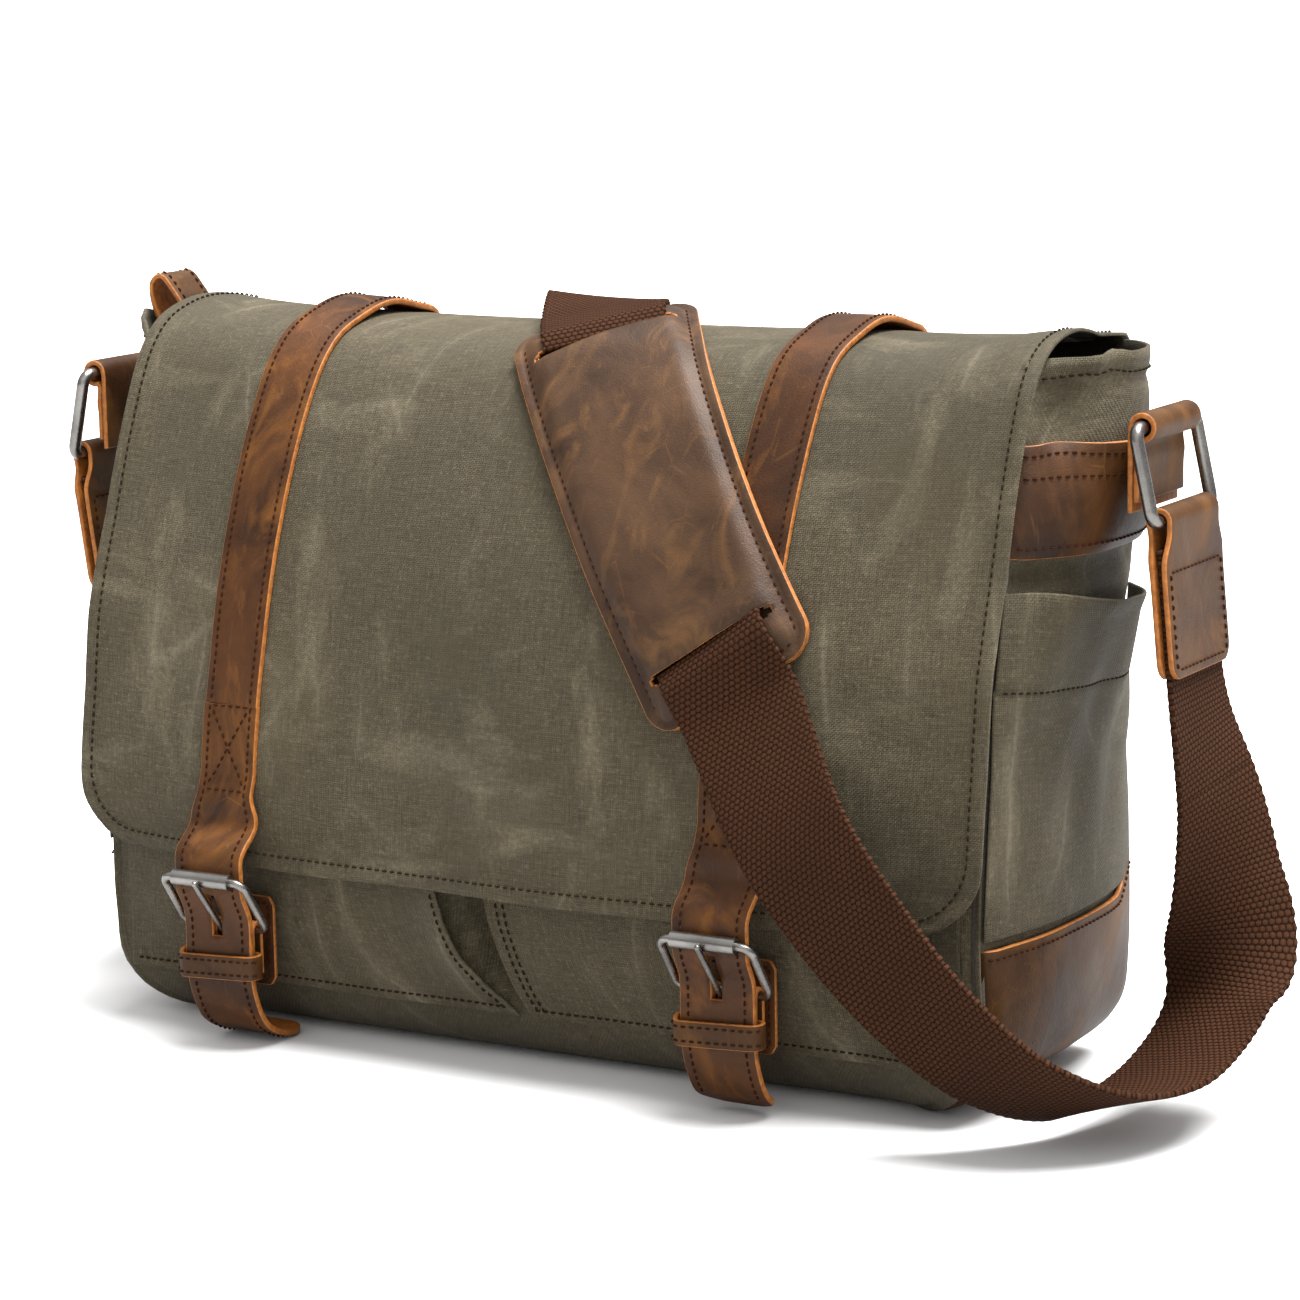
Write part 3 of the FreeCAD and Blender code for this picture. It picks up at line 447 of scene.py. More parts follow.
def sheet(name, surface, a_rows, b_rows, thick, mats, radius=0.0006, ends=(1, 1, 1, 1),
          hole=None, lift=0.0):
    """Closed sheet of even thickness with rounded edges.

    surface(A, B) gives points for grids of positions in metres; the sheet's face is on the side its
    normals point to, `lift` + `thick` in front of it.  mats = [face, edge, back]; ends tells which of
    the low-a, high-a, low-b and high-b edges are rounded; hole(A, B) is true where there is no sheet."""
    A, B = np.meshgrid(a_rows, b_rows, indexing="ij")
    P = surface(A, B)
    N = normals_of(P)
    ra, rb = radius if isinstance(radius, tuple) else (radius, radius)
    t = np.ones(A.shape)
    gaps = ((A - a_rows[0]) / ra, (a_rows[-1] - A) / ra, (B - b_rows[0]) / rb, (b_rows[-1] - B) / rb)
    for use, gap in zip(ends, gaps):
        if use:
            t = np.minimum(t, gap)
    drop = min(ra, rb, 0.0008) * (1 - np.sqrt(np.clip(1 - (1 - t) ** 2, 0, 1))) * 0.8
    top = P + N * (lift + thick - drop)[..., None]
    low = P + N * (lift + drop * 0.7)[..., None]
    nu, nv = A.shape
    verts = np.concatenate([top.reshape(-1, 3), low.reshape(-1, 3)])
    uv = np.stack([A, B], -1).reshape(-1, 2)
    idx = np.arange(nu * nv).reshape(nu, nv)
    off = nu * nv
    keep = np.ones((nu - 1, nv - 1), bool)
    if hole is not None:
        keep &= ~hole((A[:-1, :-1] + A[1:, 1:]) / 2, (B[:-1, :-1] + B[1:, 1:]) / 2)
    q = np.stack([idx[:-1, :-1], idx[1:, :-1], idx[1:, 1:], idx[:-1, 1:]], -1)
    rim = t.reshape(-1) < 0.6
    q = q[keep]
    edge_mat, back_mat = min(1, len(mats) - 1), min(2, len(mats) - 1)
    kinds = [np.where(rim[q].sum(1) >= 3, edge_mat, 0), np.full(len(q), back_mat)]
    faces = [q, q[:, ::-1] + off]
    pad = np.zeros((nu + 1, nv + 1), bool)
    pad[1:-1, 1:-1] = keep
    walls = []
    i, j = np.nonzero(pad[1:-1, 1:] != pad[1:-1, :-1])
    walls.append((idx[i, j], idx[i + 1, j], pad[1:-1, 1:][i, j]))
    i, j = np.nonzero(pad[1:, 1:-1] != pad[:-1, 1:-1])
    walls.append((idx[i, j], idx[i, j + 1], ~pad[1:, 1:-1][i, j]))
    for p, r, flip in walls:
        p, r = np.where(flip, p, r), np.where(flip, r, p)
        side = np.stack([p, p + off, r + off, r], -1)
        faces.append(side)
        kinds.append(np.full(len(side), edge_mat))
    obj = make_object(name, verts, np.concatenate(faces), mats, np.concatenate(kinds),
                      np.concatenate([uv, uv]))
    clean(obj)
    return obj


def clean(obj):
    """Joins doubled points, drops loose ones and turns the faces outwards."""
    bm = bmesh.new()
    bm.from_mesh(obj.data)
    bmesh.ops.remove_doubles(bm, verts=bm.verts, dist=2e-6)
    loose = [v for v in bm.verts if not v.link_faces]
    bmesh.ops.delete(bm, geom=loose, context="VERTS")
    bmesh.ops.recalc_face_normals(bm, faces=bm.faces)
    bm.to_mesh(obj.data)
    bm.free()


def stitch_row(points, normals, pitch=0.0034, length=0.0024, radius=0.00042, lift=0.00012):
    """Vertices and faces of a row of short thread humps along a path that lies on a surface."""
    p = np.asarray(points, float)
    n = np.asarray(normals, float)
    seg = np.linalg.norm(np.diff(p, axis=0), axis=1)
    s = np.concatenate([[0], np.cumsum(seg)])
    count = max(1, int(s[-1] / pitch))
    at = (np.arange(count) + 0.5) * s[-1] / count
    get = lambda arr, x: np.stack([np.interp(x, s, arr[:, k]) for k in range(3)], -1)
    mid = get(p, at)
    nn = unit(get(n, at))
    tan = unit(get(p, np.minimum(at + 0.0006, s[-1])) - get(p, np.maximum(at - 0.0006, 0)))
    side = np.cross(nn, tan)
    # along a stitch: place, height over the surface and thickness of each ring of points
    us = np.array([-1, -0.62, 0, 0.62, 1.0])
    hs = np.array([-1.1, 0.25, 0.75, 0.25, -1.1])
    ws = np.array([0.45, 0.95, 1.0, 0.95, 0.45])
    ring = 6
    ang = np.linspace(0, 2 * math.pi, ring, endpoint=False)
    verts = []
    for u, h, w in zip(us, hs, ws):
        c = mid + tan * (u * length / 2) + nn * (h * radius + lift)
        v = c[:, None, :] + radius * w * (np.cos(ang)[None, :, None] * side[:, None, :]
                                          + np.sin(ang)[None, :, None] * nn[:, None, :])
        verts.append(v)
    verts = np.stack(verts, 1).reshape(-1, 3)
    per = len(us) * ring
    one = []
    for i in range(len(us) - 1):
        for k in range(ring):
            a, b = i * ring + k, i * ring + (k + 1) % ring
            one.append((a, b, b + ring, a + ring))
    one = np.array(one)
    caps = [list(range(ring))[::-1], list(range(per - ring, per))]
    faces = (one[None] + np.arange(count)[:, None, None] * per).reshape(-1, 4).tolist()
    for c in range(count):
        for cap in caps:
            faces.append([k + c * per for k in cap])
    return verts, faces


def stitches(name, rows, mat):
    """One piece holding several stitch rows, each (points, normals) or with a settings dict."""
    verts, faces, base = [], [], 0
    for row in rows:
        v, f = stitch_row(row[0], row[1], **(row[2] if len(row) > 2 else {}))
        verts.append(v)
        faces += [[k + base for k in q] for q in f]
        base += len(v)
    return make_object(name, np.concatenate(verts), faces, [mat])


def on_surface(surface, a, b, lift):
    """Points on the face of a sheet at positions (a, b), with their normals."""
    a, b = np.broadcast_arrays(np.asarray(a, float), np.asarray(b, float))
    e = 0.0005
    p = surface(a[None], b[None])[0]
    du = surface(a[None] + e, b[None])[0] - surface(a[None] - e, b[None])[0]
    dv = surface(a[None], b[None] + e)[0] - surface(a[None], b[None] - e)[0]
    n = unit(np.cross(du, dv))
    return p + n * lift, n


def finish_piece(obj, body, slot, *nodes):
    """Rides on a body; when body is (a, b, start, end) it stays fixed where it was built."""
    if isinstance(body, str):
        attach(obj, body)
    else:
        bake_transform(obj)
    if nodes:
        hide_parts(*nodes)
    return obj


def sew(name, rows, body, leather=True):
    """Stitch rows as one piece, in the leather's thread or in the canvas's."""
    thread, slot = (THREAD_LEATHER, "leather") if leather else (THREAD_CANVAS, "canvas")
    finish_piece(stitches(name, rows, thread), body, slot)


def facing(surface, a_span, b_span, toward):
    """The surface, turned over in A if its normal at a trial place points away from `toward`."""
    trial = np.meshgrid(np.linspace(*a_span, 3), np.linspace(*b_span, 3), indexing="ij")
    if np.dot(normals_of(surface(*trial))[1, 1], toward) > 0:
        return surface
    return lambda A, B: surface(-A, B)


# ------------------------------------------------ surfaces read from the frame
class Grid:
    """Smooth surface through a regular table of values, looked up at (a, b)."""

    def __init__(self, values, a_range, b_range):
        self.v, self.ar, self.br = values, a_range, b_range

    @staticmethod
    def weights(x, n):
        i = np.clip(np.floor(x).astype(int), 0, n - 2)
        f = np.clip(x - i, -0.6, 1.6)
        w = [-0.5 * f + f**2 - 0.5 * f**3, 1 - 2.5 * f**2 + 1.5 * f**3,
             0.5 * f + 2 * f**2 - 1.5 * f**3, -0.5 * f**2 + 0.5 * f**3]
        return [np.clip(i + k - 1, 0, n - 1) for k in range(4)], w

    def __call__(self, a, b):
        n, m = self.v.shape[:2]
        i, wi = self.weights((a - self.ar[0]) / (self.ar[1] - self.ar[0]) * (n - 1), n)
        j, wj = self.weights((b - self.br[0]) / (self.br[1] - self.br[0]) * (m - 1), m)
        out = 0
        for p, u in zip(i, wi):
            for q, w in zip(j, wj):
                k = u * w
                val = self.v[p, q]
                out = out + (val * k[..., None] if val.ndim > k.ndim else val * k)
        return out


def fill(t):
    """Fills gaps in a table from their neighbours."""
    t = t.copy()
    while np.isnan(t).any():
        p = np.pad(t, 1, constant_values=np.nan)
        around = np.stack([p[:-2, 1:-1], p[2:, 1:-1], p[1:-1, :-2], p[1:-1, 2:]])
        good = ~np.isnan(around)
        mean = np.where(good, around, 0).sum(0) / np.maximum(good.sum(0), 1)
        t = np.where(np.isnan(t) & good.any(0), mean, t)
    return t


def soften(t, passes=2, axes=(0, 1)):
    """Evens out the facets of a table; its rim keeps its slope."""
    for _ in range(passes):
        for ax in axes:
            t = np.moveaxis(t, ax, 0)
            p = np.concatenate([2 * t[:1] - t[1:2], t, 2 * t[-1:] - t[-2:-1]])
            t = np.moveaxis((p[:-2] + 2 * p[1:-1] + p[2:]) / 4, 0, ax)
    return t


def read_flap():
    """The flap's outer face and its rear margin as a table over x and the distance from the crease."""
    lo, hi = box("flap_shell")
    seam_lo, seam_hi = box("flap_seam_band")
    half = hi[0] - 0.0004
    xs = np.linspace(-half, half, 45)
    bvh = tree("flap_shell")
    band = tree("flap_seam_band")
    cy, cz = 0.02, 0.15
    angles = np.radians(np.arange(70.0, 222.0, 0.25))
    R = np.full((len(xs), len(angles)), np.nan)
    for i, x in enumerate(xs):
        for j, t in enumerate(angles):
            c, s = math.cos(t), math.sin(t)
            hit = cast(bvh, (x, cy + 0.4 * c, cz + 0.4 * s), (0, -c, -s))
            if hit is not None:
                r = math.hypot(hit[1] - cy, hit[2] - cz)
                R[i, j] = r if r > 0.1 else np.nan
    first = np.nonzero(~np.isnan(R).all(0))[0][0]
    R = R[:, first:]
    angles = angles[first:]
    last = np.nonzero(~np.isnan(R[len(xs) // 2]))[0][-1] + 1
    R, angles = R[:, :last], angles[:last]
    for j in range(len(angles)):
        good = np.nonzero(~np.isnan(R[:, j]))[0]
        a, b = good[0], good[-1]
        for i in range(len(xs)):
            if i < a:
                R[i, j] = R[a, j] + (R[a, j] - R[a + 3, j]) * (a - i) / 3 * 0.8
            elif i > b:
                R[i, j] = R[b, j] + (R[b, j] - R[b - 3, j]) * (i - b) / 3 * 0.8
    R = soften(fill(R), 8, (1,))
    R = soften(R, 2, (0,))
    rows, front, back = 261, [], []
    for i, x in enumerate(xs):
        y, z = cy + R[i] * np.cos(angles), cz + R[i] * np.sin(angles)
        keep = z > lo[2]
        y, z = y[keep], z[keep]
        heights = np.linspace(seam_hi[2] - 0.001, seam_lo[2] + 0.001, 20)
        margin = [cast(band, (np.clip(x, seam_lo[0] + 0.003, seam_hi[0] - 0.003), 0.4, h), (0, -1, 0))
                  for h in heights]
        my = soften(np.array([p[1] for p in margin]), 3, (0,))
        s = np.concatenate([[0], np.cumsum(np.hypot(np.diff(y), np.diff(z)))])
        full = np.linspace(0, 1, rows)
        at = full * s[-1]
        front.append(np.stack([np.full(rows, x), np.interp(at, s, y), np.interp(at, s, z)], -1))
        back.append((s[-1], my, heights))
    length = np.array([b[0] for b in back])
    total = float(length[len(xs) // 2])
    # one table over s, from the rear margin's lower edge (negative) to the hem
    s_axis = np.linspace(-0.052, total, 420)
    table = np.zeros((len(xs), len(s_axis), 3))
    for i, x in enumerate(xs):
        f = front[i]
        y0, z0 = f[0, 1], f[0, 2]
        my, heights = back[i][1], back[i][2]
        turn_y = [y0, y0 + 0.0035, my[0] - 0.0002]
        turn_z = [z0, z0 - 0.0022, heights[0] + 0.0035]
        ry = np.concatenate([turn_y, my])
        rz = np.concatenate([turn_z, heights])
        rs = np.concatenate([[0], np.cumsum(np.hypot(np.diff(ry), np.diff(rz)))])
        sf = np.linspace(0, 1, rows) * total
        neg = s_axis < 0
        table[i, :, 0] = x
        table[i, neg, 1] = np.interp(-s_axis[neg], rs, ry)
        table[i, neg, 2] = np.interp(-s_axis[neg], rs, rz)
        table[i, ~neg, 1] = np.interp(s_axis[~neg], sf, f[:, 1])
        table[i, ~neg, 2] = np.interp(s_axis[~neg], sf, f[:, 2])
    table = soften(table, 5, (1,))
    return Grid(table, (xs[0], xs[-1]), (s_axis[0], s_axis[-1])), total, half


flap_grid, FLAP_LEN, FLAP_HALF = read_flap()
# x of each strap's middle
STRAPS = {s: (box(f"{s}_flap_strap")[0][0] + box(f"{s}_flap_strap")[1][0]) / 2
          for s in ("left", "right")}

# the right end of the flap: low where it leaves the back, then a full shoulder towards the front
# (distance from the crease in metres, height in millimetres)
SHOULDER = (np.array([0.0, 0.010, 0.020, 0.030, 0.040, 0.050, 0.060, 0.070, 0.080, 0.090, 0.100, 0.115,
                      0.135, 0.160, 0.19]),
            np.array([-0.6, -1.0, -1.5, -1.7, 0.6, 2.6, 3.7, 4.4, 5.0, 5.2, 4.8, 4.4, 3.6, 2.0, 0.0]) * MM)


def flap_dent(x, s):
    """Soft unevenness of the flap: it hangs slack between the straps, and its right end arches up."""
    d = noise2(x, s, 0.115, 5, 2) * 0.0009 - 0.0006
    d = d + noise2(x * 0.7 + s * 0.5, s - x * 0.3, 0.052, 9, 2) * 0.00045
    for x0 in STRAPS.values():
        d = d + 0.0007 * bump(x, x0, 0.022)
    ridge = bump(s, 0.040, 0.034)
    end = smooth((x - 0.145) / 0.055)
    d = d * (1 - end) + end * np.interp(s, *SHOULDER) + 0.0016 * ridge * smooth((-x - 0.165) / 0.04)
    d = d - 0.0018 * ridge * bump(x, 0.150, 0.03) - 0.0012 * ridge * bump(x, -0.06, 0.05)
    d = d + 0.0012 * smooth((s - FLAP_LEN + 0.05) / 0.05) * np.sin(x * 31 + 0.6)
    return d * smooth((s + 0.004) / 0.02)


def flap_base(x, s):
    """The flap's table at (x, s), with its normal."""
    e = 0.0012
    across = flap_grid(x + e, s) - flap_grid(x - e, s)
    down = flap_grid(x, s + e) - flap_grid(x, s - e)
    return flap_grid(x, s), unit(np.cross(across, down))


# sign that turns flap_base's normal outwards
OUT = 1.0 if flap_base(np.array([0.0]), np.array([0.2]))[1][0][1] < 0 else -1.0


def flap_at(x, s, lift=0.0):
    """Point `lift` above the flap's outer face."""
    p, n = flap_base(x, s)
    return p + n * (OUT * (flap_dent(x, s) + lift))[..., None]


def flap_s(x, z):
    """Distance from the crease at which the flap's front reaches height z."""
    s = np.linspace(0.05, FLAP_LEN, 900)
    return float(np.interp(-z, -flap_grid(np.full_like(s, x), s)[:, 2], s))


HEM_R = 0.030             # radius of the flap's two lower corners


def flap_warp(A, B):
    """Rounds the flap's two lower corners."""
    return round_corners(A, FLAP_LEN - B, FLAP_HALF, HEM_R), B


# ------------------------------------------------ body shell
def build_shell():
    """The outer canvas: one ring of points per height, front, right end, back and left end in turn.

    Gives the table, the columns of the four corner seams, and the number of columns along the front
    and along an end."""
    _, f_hi = box("front_panel")
    _, b_hi = box("back_panel")
    g_lo, g_hi = box("right_gusset")
    front, back = tree("front_panel"), tree("back_panel")
    gusset = {1: tree("right_gusset"), -1: tree("left_gusset")}
    corner = 0.045              # height up to which the bottom's edge is round
    seam_out = 0.0015           # how far the corner seams stand out past the panels
    margin = 0.0045             # strip of an end panel beside its seams that isn't read from the frame
    rim = 0.0006                # clearance under a panel's upper edge
    near = np.array([0, 0.0009, 0.0018, 0.003, 0.005, 0.008, 0.012])
    half_top = f_hi[0] + seam_out

    def end_frac(length, count):
        mid = np.linspace(0.016, length - 0.016, count)
        return np.concatenate([near, mid, length - near[::-1]])

    xf = end_frac(2 * half_top, 92) / (2 * half_top)        # along the front and the back
    yf = end_frac(0.125, 30) / 0.125                        # along an end
    low = corner * (1 - np.cos(np.linspace(0.10, 1, 13) * math.pi / 2))
    up = np.linspace(0, 1, 72)[1:]
    rows = [("low", z) for z in low] + [("up", t) for t in up]

    def half_at(z):
        a, b = 0.10, 0.23
        for _ in range(16):
            m = (a + b) / 2
            if cast(front, (m, -0.4, z), (0, 1, 0)) is not None:
                a = m
            else:
                b = m
        return a + seam_out

    def rim_height(side, y):
        a, b = 0.22, g_hi[2] + 0.002
        for _ in range(12):
            m = (a + b) / 2
            if cast(gusset[side], (side * 0.4, y, m), (-side, 0, 0)) is not None:
                a = m
            else:
                b = m
        return a

    ny = len(yf)
    rims = {}
    for side in (1, -1):
        ys = g_lo[1] + 0.006 + (g_hi[1] - g_lo[1] - 0.012) * np.linspace(0, 1, 25)
        rims[side] = (ys, np.array([rim_height(side, y) for y in ys]))
    levels = []
    for kind, val in rows:
        z_f = val if kind == "low" else corner + (f_hi[2] - rim - corner) * val
        z_b = val if kind == "low" else corner + (b_hi[2] - rim - corner) * val
        h_f, h_b = half_at(z_f), half_at(min(z_b, 0.268))
        fx = -h_f + 2 * h_f * xf
        bx = h_b - 2 * h_b * xf
        fy = [cast(front, (np.clip(x, -h_f + 0.004, h_f - 0.004), -0.4, z_f), (0, 1, 0)) for x in fx]
        by = [cast(back, (np.clip(x, -h_b + 0.004, h_b - 0.004), 0.4, z_b), (0, -1, 0)) for x in bx]
        fy = np.array([np.nan if p is None else p[1] for p in fy])
        by = np.array([np.nan if p is None else p[1] for p in by])
        sides = {}
        for side in (1, -1):
            pts = []
            y0, y1 = (fy[-1], by[0]) if side > 0 else (fy[0], by[-1])
            for t in yf:
                y = y0 + (y1 - y0) * t
                top = float(np.interp(y, *rims[side])) - rim + 0.0065 * smooth((0.45 - t) / 0.35)
                if side > 0:
                    top = max(top, 0.2855 + 0.0015 * smooth(t / 0.15))
                z = val if kind == "low" else corner + (top - corner) * val
                yc = np.clip(y, y0 + margin, y1 - margin)
                hit = cast(gusset[side], (side * 0.4, yc, z), (-side, 0, 0))
                # in the margin the surface runs straight on to the seam
                pull = abs(y - yc) / margin
                seam = side * (h_f if t < 0.5 else h_b)
                x = np.nan
                if hit is not None and abs(hit[0]) >= 0.1:
                    x = hit[0] + (seam - hit[0]) * smooth(pull) * 0.9
                pts.append((x, y, z))
            sides[side] = np.array(pts)
        ring = np.concatenate([np.stack([fx, fy, np.full_like(fx, z_f)], -1)[:-1], sides[1][:-1],
                               np.stack([bx, by, np.full_like(bx, z_b)], -1)[:-1], sides[-1][::-1][:-1]])
        levels.append(ring)
    P = np.array(levels)
    for k in range(3):
        P[..., k] = fill(P[..., k])
    nx = len(xf) - 1
    # the front's right top corner stands up to meet the gusset's rim
    ear = smooth((P[-1, :nx, 0] - 0.166) / 0.032) * (0.2853 - P[-1, :nx, 2])
    height = np.array([v if k == "up" else 0 for k, v in rows])
    P[:, :nx, 2] += ear * smooth((height - 0.78) / 0.22)[:, None]
    seams = [0, nx, nx + ny - 1, 2 * nx + ny - 1]
    P = soften(P, 2, (0,))
    total = P.shape[1]
    near_seam = np.zeros(total)
    for c in seams:
        d = np.minimum((np.arange(total) - c) % total, (c - np.arange(total)) % total)
        near_seam = np.maximum(near_seam, smooth((9 - d) / 4.0))
    for _ in range(10):
        Q = (np.roll(P, 1, 1) + 2 * P + np.roll(P, -1, 1)) / 4
        P = P + (Q - P) * near_seam[None, :, None]
    return P, seams, nx, ny


SHELL, SEAMS, NX, NY = build_shell()


def ring_normals(P):
    du = np.roll(P, -1, 1) - np.roll(P, 1, 1)
    dv = np.gradient(P, axis=0)
    return unit(np.cross(du, dv))


def dress_shell(P, seams, sink=0.014):
    """Adds the seam welts, the hem's step and the canvas's slack to the ring table."""
    N = ring_normals(P)
    seg = np.linalg.norm(np.roll(P, -1, 1) - P, axis=2)
    arc = np.cumsum(seg, 1) - seg
    z = P[..., 2]
    out = np.zeros(z.shape)
    for c in seams:
        d = np.abs(arc - arc[:, c:c + 1])
        d = np.minimum(d, (arc[:, -1:] + seg[:, -1:]) - d)
        out += 0.0013 * np.exp(-(d / 0.0011) ** 2) - 0.0008 * np.exp(-((d - 0.0034) / 0.0016) ** 2)
    x, y = P[..., 0], P[..., 1]
    rim = P[-1:, :, 2]
    gap = rim - z
    out += 0.0007 * smooth((0.0095 - gap) / 0.0012) - 0.0005 * np.exp(-((gap - 0.0098) / 0.0012) ** 2)
    slack = noise2(arc, z, 0.075, 21, 3) * 0.0011 - 0.0012
    end = smooth((np.abs(x) - 0.19) / 0.02)
    fold = end * smooth((z - 0.10) / 0.03) * smooth((0.275 - z) / 0.02)
    slack = slack - fold * 0.0016 * (0.5 + 0.5 * np.sin(y * 95 + z * 40 + 1.2 * np.sin(z * 50)))
    # a crease across the end under the band, and one that runs down from its rim
    slack = slack - end * 0.0045 * np.exp(-((z - 0.2085) / 0.0055) ** 2) * smooth((0.044 - y) / 0.016)
    rim_crease = np.exp(-((y + 0.030 - (z - 0.25) * 0.4) / 0.006) ** 2)
    slack = slack - end * 0.0030 * rim_crease * smooth((z - 0.250) / 0.012)
    # the lower corners stand out
    out += 0.0048 * smooth((np.abs(x) - 0.150) / 0.02) * np.exp(-((z - 0.020) / 0.014) ** 2)
    # the hollow between the front pockets
    middle_x = np.interp(z, mouth_z, (left_edge + right_edge) / 2)
    half = np.interp(z, mouth_z, (right_edge - left_edge) / 2)
    between = (y < 0) * np.exp(-np.abs((x - middle_x) / (half + 0.0015)) ** 3)
    slack = slack - sink * between * smooth((z - 0.020) / 0.022) * smooth((0.2 - z) / 0.03)
    calm = smooth(z / 0.02) * smooth((gap - 0.002) / 0.01)
    return P + N * (out + slack * calm)[..., None], arc


# edges of the two front pockets on either side of the opening between them, by height
mouth_z = np.array([0.020, 0.033, 0.045, 0.060, 0.075, 0.180])
left_edge = np.array([-0.001, -0.014, -0.021, -0.027, -0.031, -0.036])
right_edge = np.array([0.004, -0.003, -0.0075, -0.012, -0.0145, -0.018])
BODY, ARC = dress_shell(SHELL, SEAMS)
LEVEL = dress_shell(SHELL, SEAMS, 0.0)[0]      # without the hollow, for what is sewn on


def shell_piece(name, P, thick, mats, arc):
    """Closed cup from a ring table, `thick` inwards, with a flat bottom."""
    N = ring_normals(P)
    cols = P.shape[1]
    down = []
    for k, shrink in enumerate((0.93, 0.72, 0.42, 0.10)):
        ring = P[0] * [shrink if k else 0.985, shrink, 1]
        ring[:, 2] = P[0, :, 2].min() * (0.25 if k else 0.6)
        down.append(ring)
    outer = np.concatenate([np.array(down[::-1]), P])
    inner_low = [np.stack([r[:, 0] * 0.985, r[:, 1] * 0.96, r[:, 2] + thick], -1) for r in down[::-1]]
    inner = np.concatenate([np.array(inner_low), P - N * thick])
    n = outer.shape[0]
    v = np.concatenate([outer.reshape(-1, 3), inner.reshape(-1, 3)])
    s = np.concatenate([np.zeros(1), np.cumsum(np.linalg.norm(np.diff(outer, axis=0), axis=2).mean(1))])
    full = np.concatenate([np.repeat(arc[:1], 4, 0), arc])
    uv = np.stack([full, np.repeat(s[:, None], cols, 1)], -1).reshape(-1, 2)
    idx = np.arange(n * cols).reshape(n, cols)
    right = np.roll(idx, -1, 1)
    q = np.stack([idx[:-1], right[:-1], right[1:], idx[1:]], -1).reshape(-1, 4)
    off = n * cols
    rim = np.stack([idx[-1], right[-1], right[-1] + off, idx[-1] + off], -1)
    faces = [list(f) for f in q] + [list(f[::-1] + off) for f in q] + [list(f) for f in rim]
    kinds = [0] * len(q) + [1] * len(q) + [0] * len(rim)
    faces += [list(idx[0][::-1]), list(idx[0] + off)]
    kinds += [0, 1]
    obj = make_object(name, v, faces, mats, kinds, np.concatenate([uv, uv]))
    clean(obj)
    return obj


def shell_row(from_rim, lift):
    """Path round the shell at a distance below its rim, with its normals."""
    N = ring_normals(BODY)
    out, nn = [], []
    for c in range(BODY.shape[1]):
        column = BODY[::-1, c]
        s = np.concatenate([np.cumsum(np.linalg.norm(np.diff(column, axis=0), axis=1))[::-1], [0]])
        out.append([np.interp(-from_rim, -s, BODY[:, c, k]) for k in range(3)])
        nn.append([np.interp(-from_rim, -s, N[:, c, k]) for k in range(3)])
    out, nn = np.array(out), unit(np.array(nn))
    return out + nn * lift, nn


# its inner face is the darkened inside canvas, painted shade
finish_piece(shell_piece("body_canvas", BODY, 0.0016, [CANVAS, CANVAS_IN_SHADED], ARC), "bag_body", "canvas",
             "front_panel", "back_panel", "left_gusset", "right_gusset", "bottom_panel")
sew("body_rim_stitches", [shell_row(0.0078, 0.0001)], "bag_body", leather=False)

inner_ring = BODY[:-3] - ring_normals(BODY)[:-3] * 0.0027
inner_ring[:, :, 2] = np.maximum(inner_ring[:, :, 2], 0.0046)
inner_ring[:, :, 2] += 0.004 * smooth((0.03 - inner_ring[:, :, 2]) / 0.03)
cup = shell_piece("lining_cup", inner_ring[6:], 0.0007, [LINING, LINING], ARC[6:-3])
finish_piece(cup, "bag_body", "lining_cloth", "lining")

# ------------------------------------------------ surfaces of the body for sewn-on parts
front_xs = np.linspace(-0.197, 0.197, 81)
front_zs = np.linspace(0.004, 0.268, 90)


def ring_field(cols, a_axis, a_vals, z_vals, d_axis):
    """Depth of the dressed shell over (a, z), from the columns of one of its four walls."""
    W = LEVEL[:, cols]
    rows = []
    for r in range(W.shape[0]):
        order = np.argsort(W[r, :, a_axis])
        rows.append([np.interp(a_vals, W[r, order, a_axis], W[r, order, d_axis]),
                     np.interp(a_vals, W[r, order, a_axis], W[r, order, 2])])
    rows = np.array(rows)
    out = np.zeros((len(a_vals), len(z_vals)))
    for i in range(len(a_vals)):
        out[i] = np.interp(z_vals, rows[:, 1, i], rows[:, 0, i])
    return out


NCOL = BODY.shape[1]
END_COLS = {1: np.arange(NX, NX + NY), -1: np.arange(2 * NX + NY - 1, NCOL + 1) % NCOL}
front_depth = Grid(soften(ring_field(np.arange(0, NX + 1), 0, front_xs, front_zs, 1), 2),
                   (front_xs[0], front_xs[-1]), (front_zs[0], front_zs[-1]))
end_ys = np.linspace(-0.070, 0.0625, 60)
end_zs = np.linspace(0.003, 0.262, 100)
end_depth = {side: Grid(soften(ring_field(cols, 1, end_ys, end_zs, 0), 1),
                        (end_ys[0], end_ys[-1]), (end_zs[0], end_zs[-1]))
             for side, cols in END_COLS.items()}


def front_at(x, z, lift=0.0):
    return np.stack([x, front_depth(x, z) - lift, z], -1)


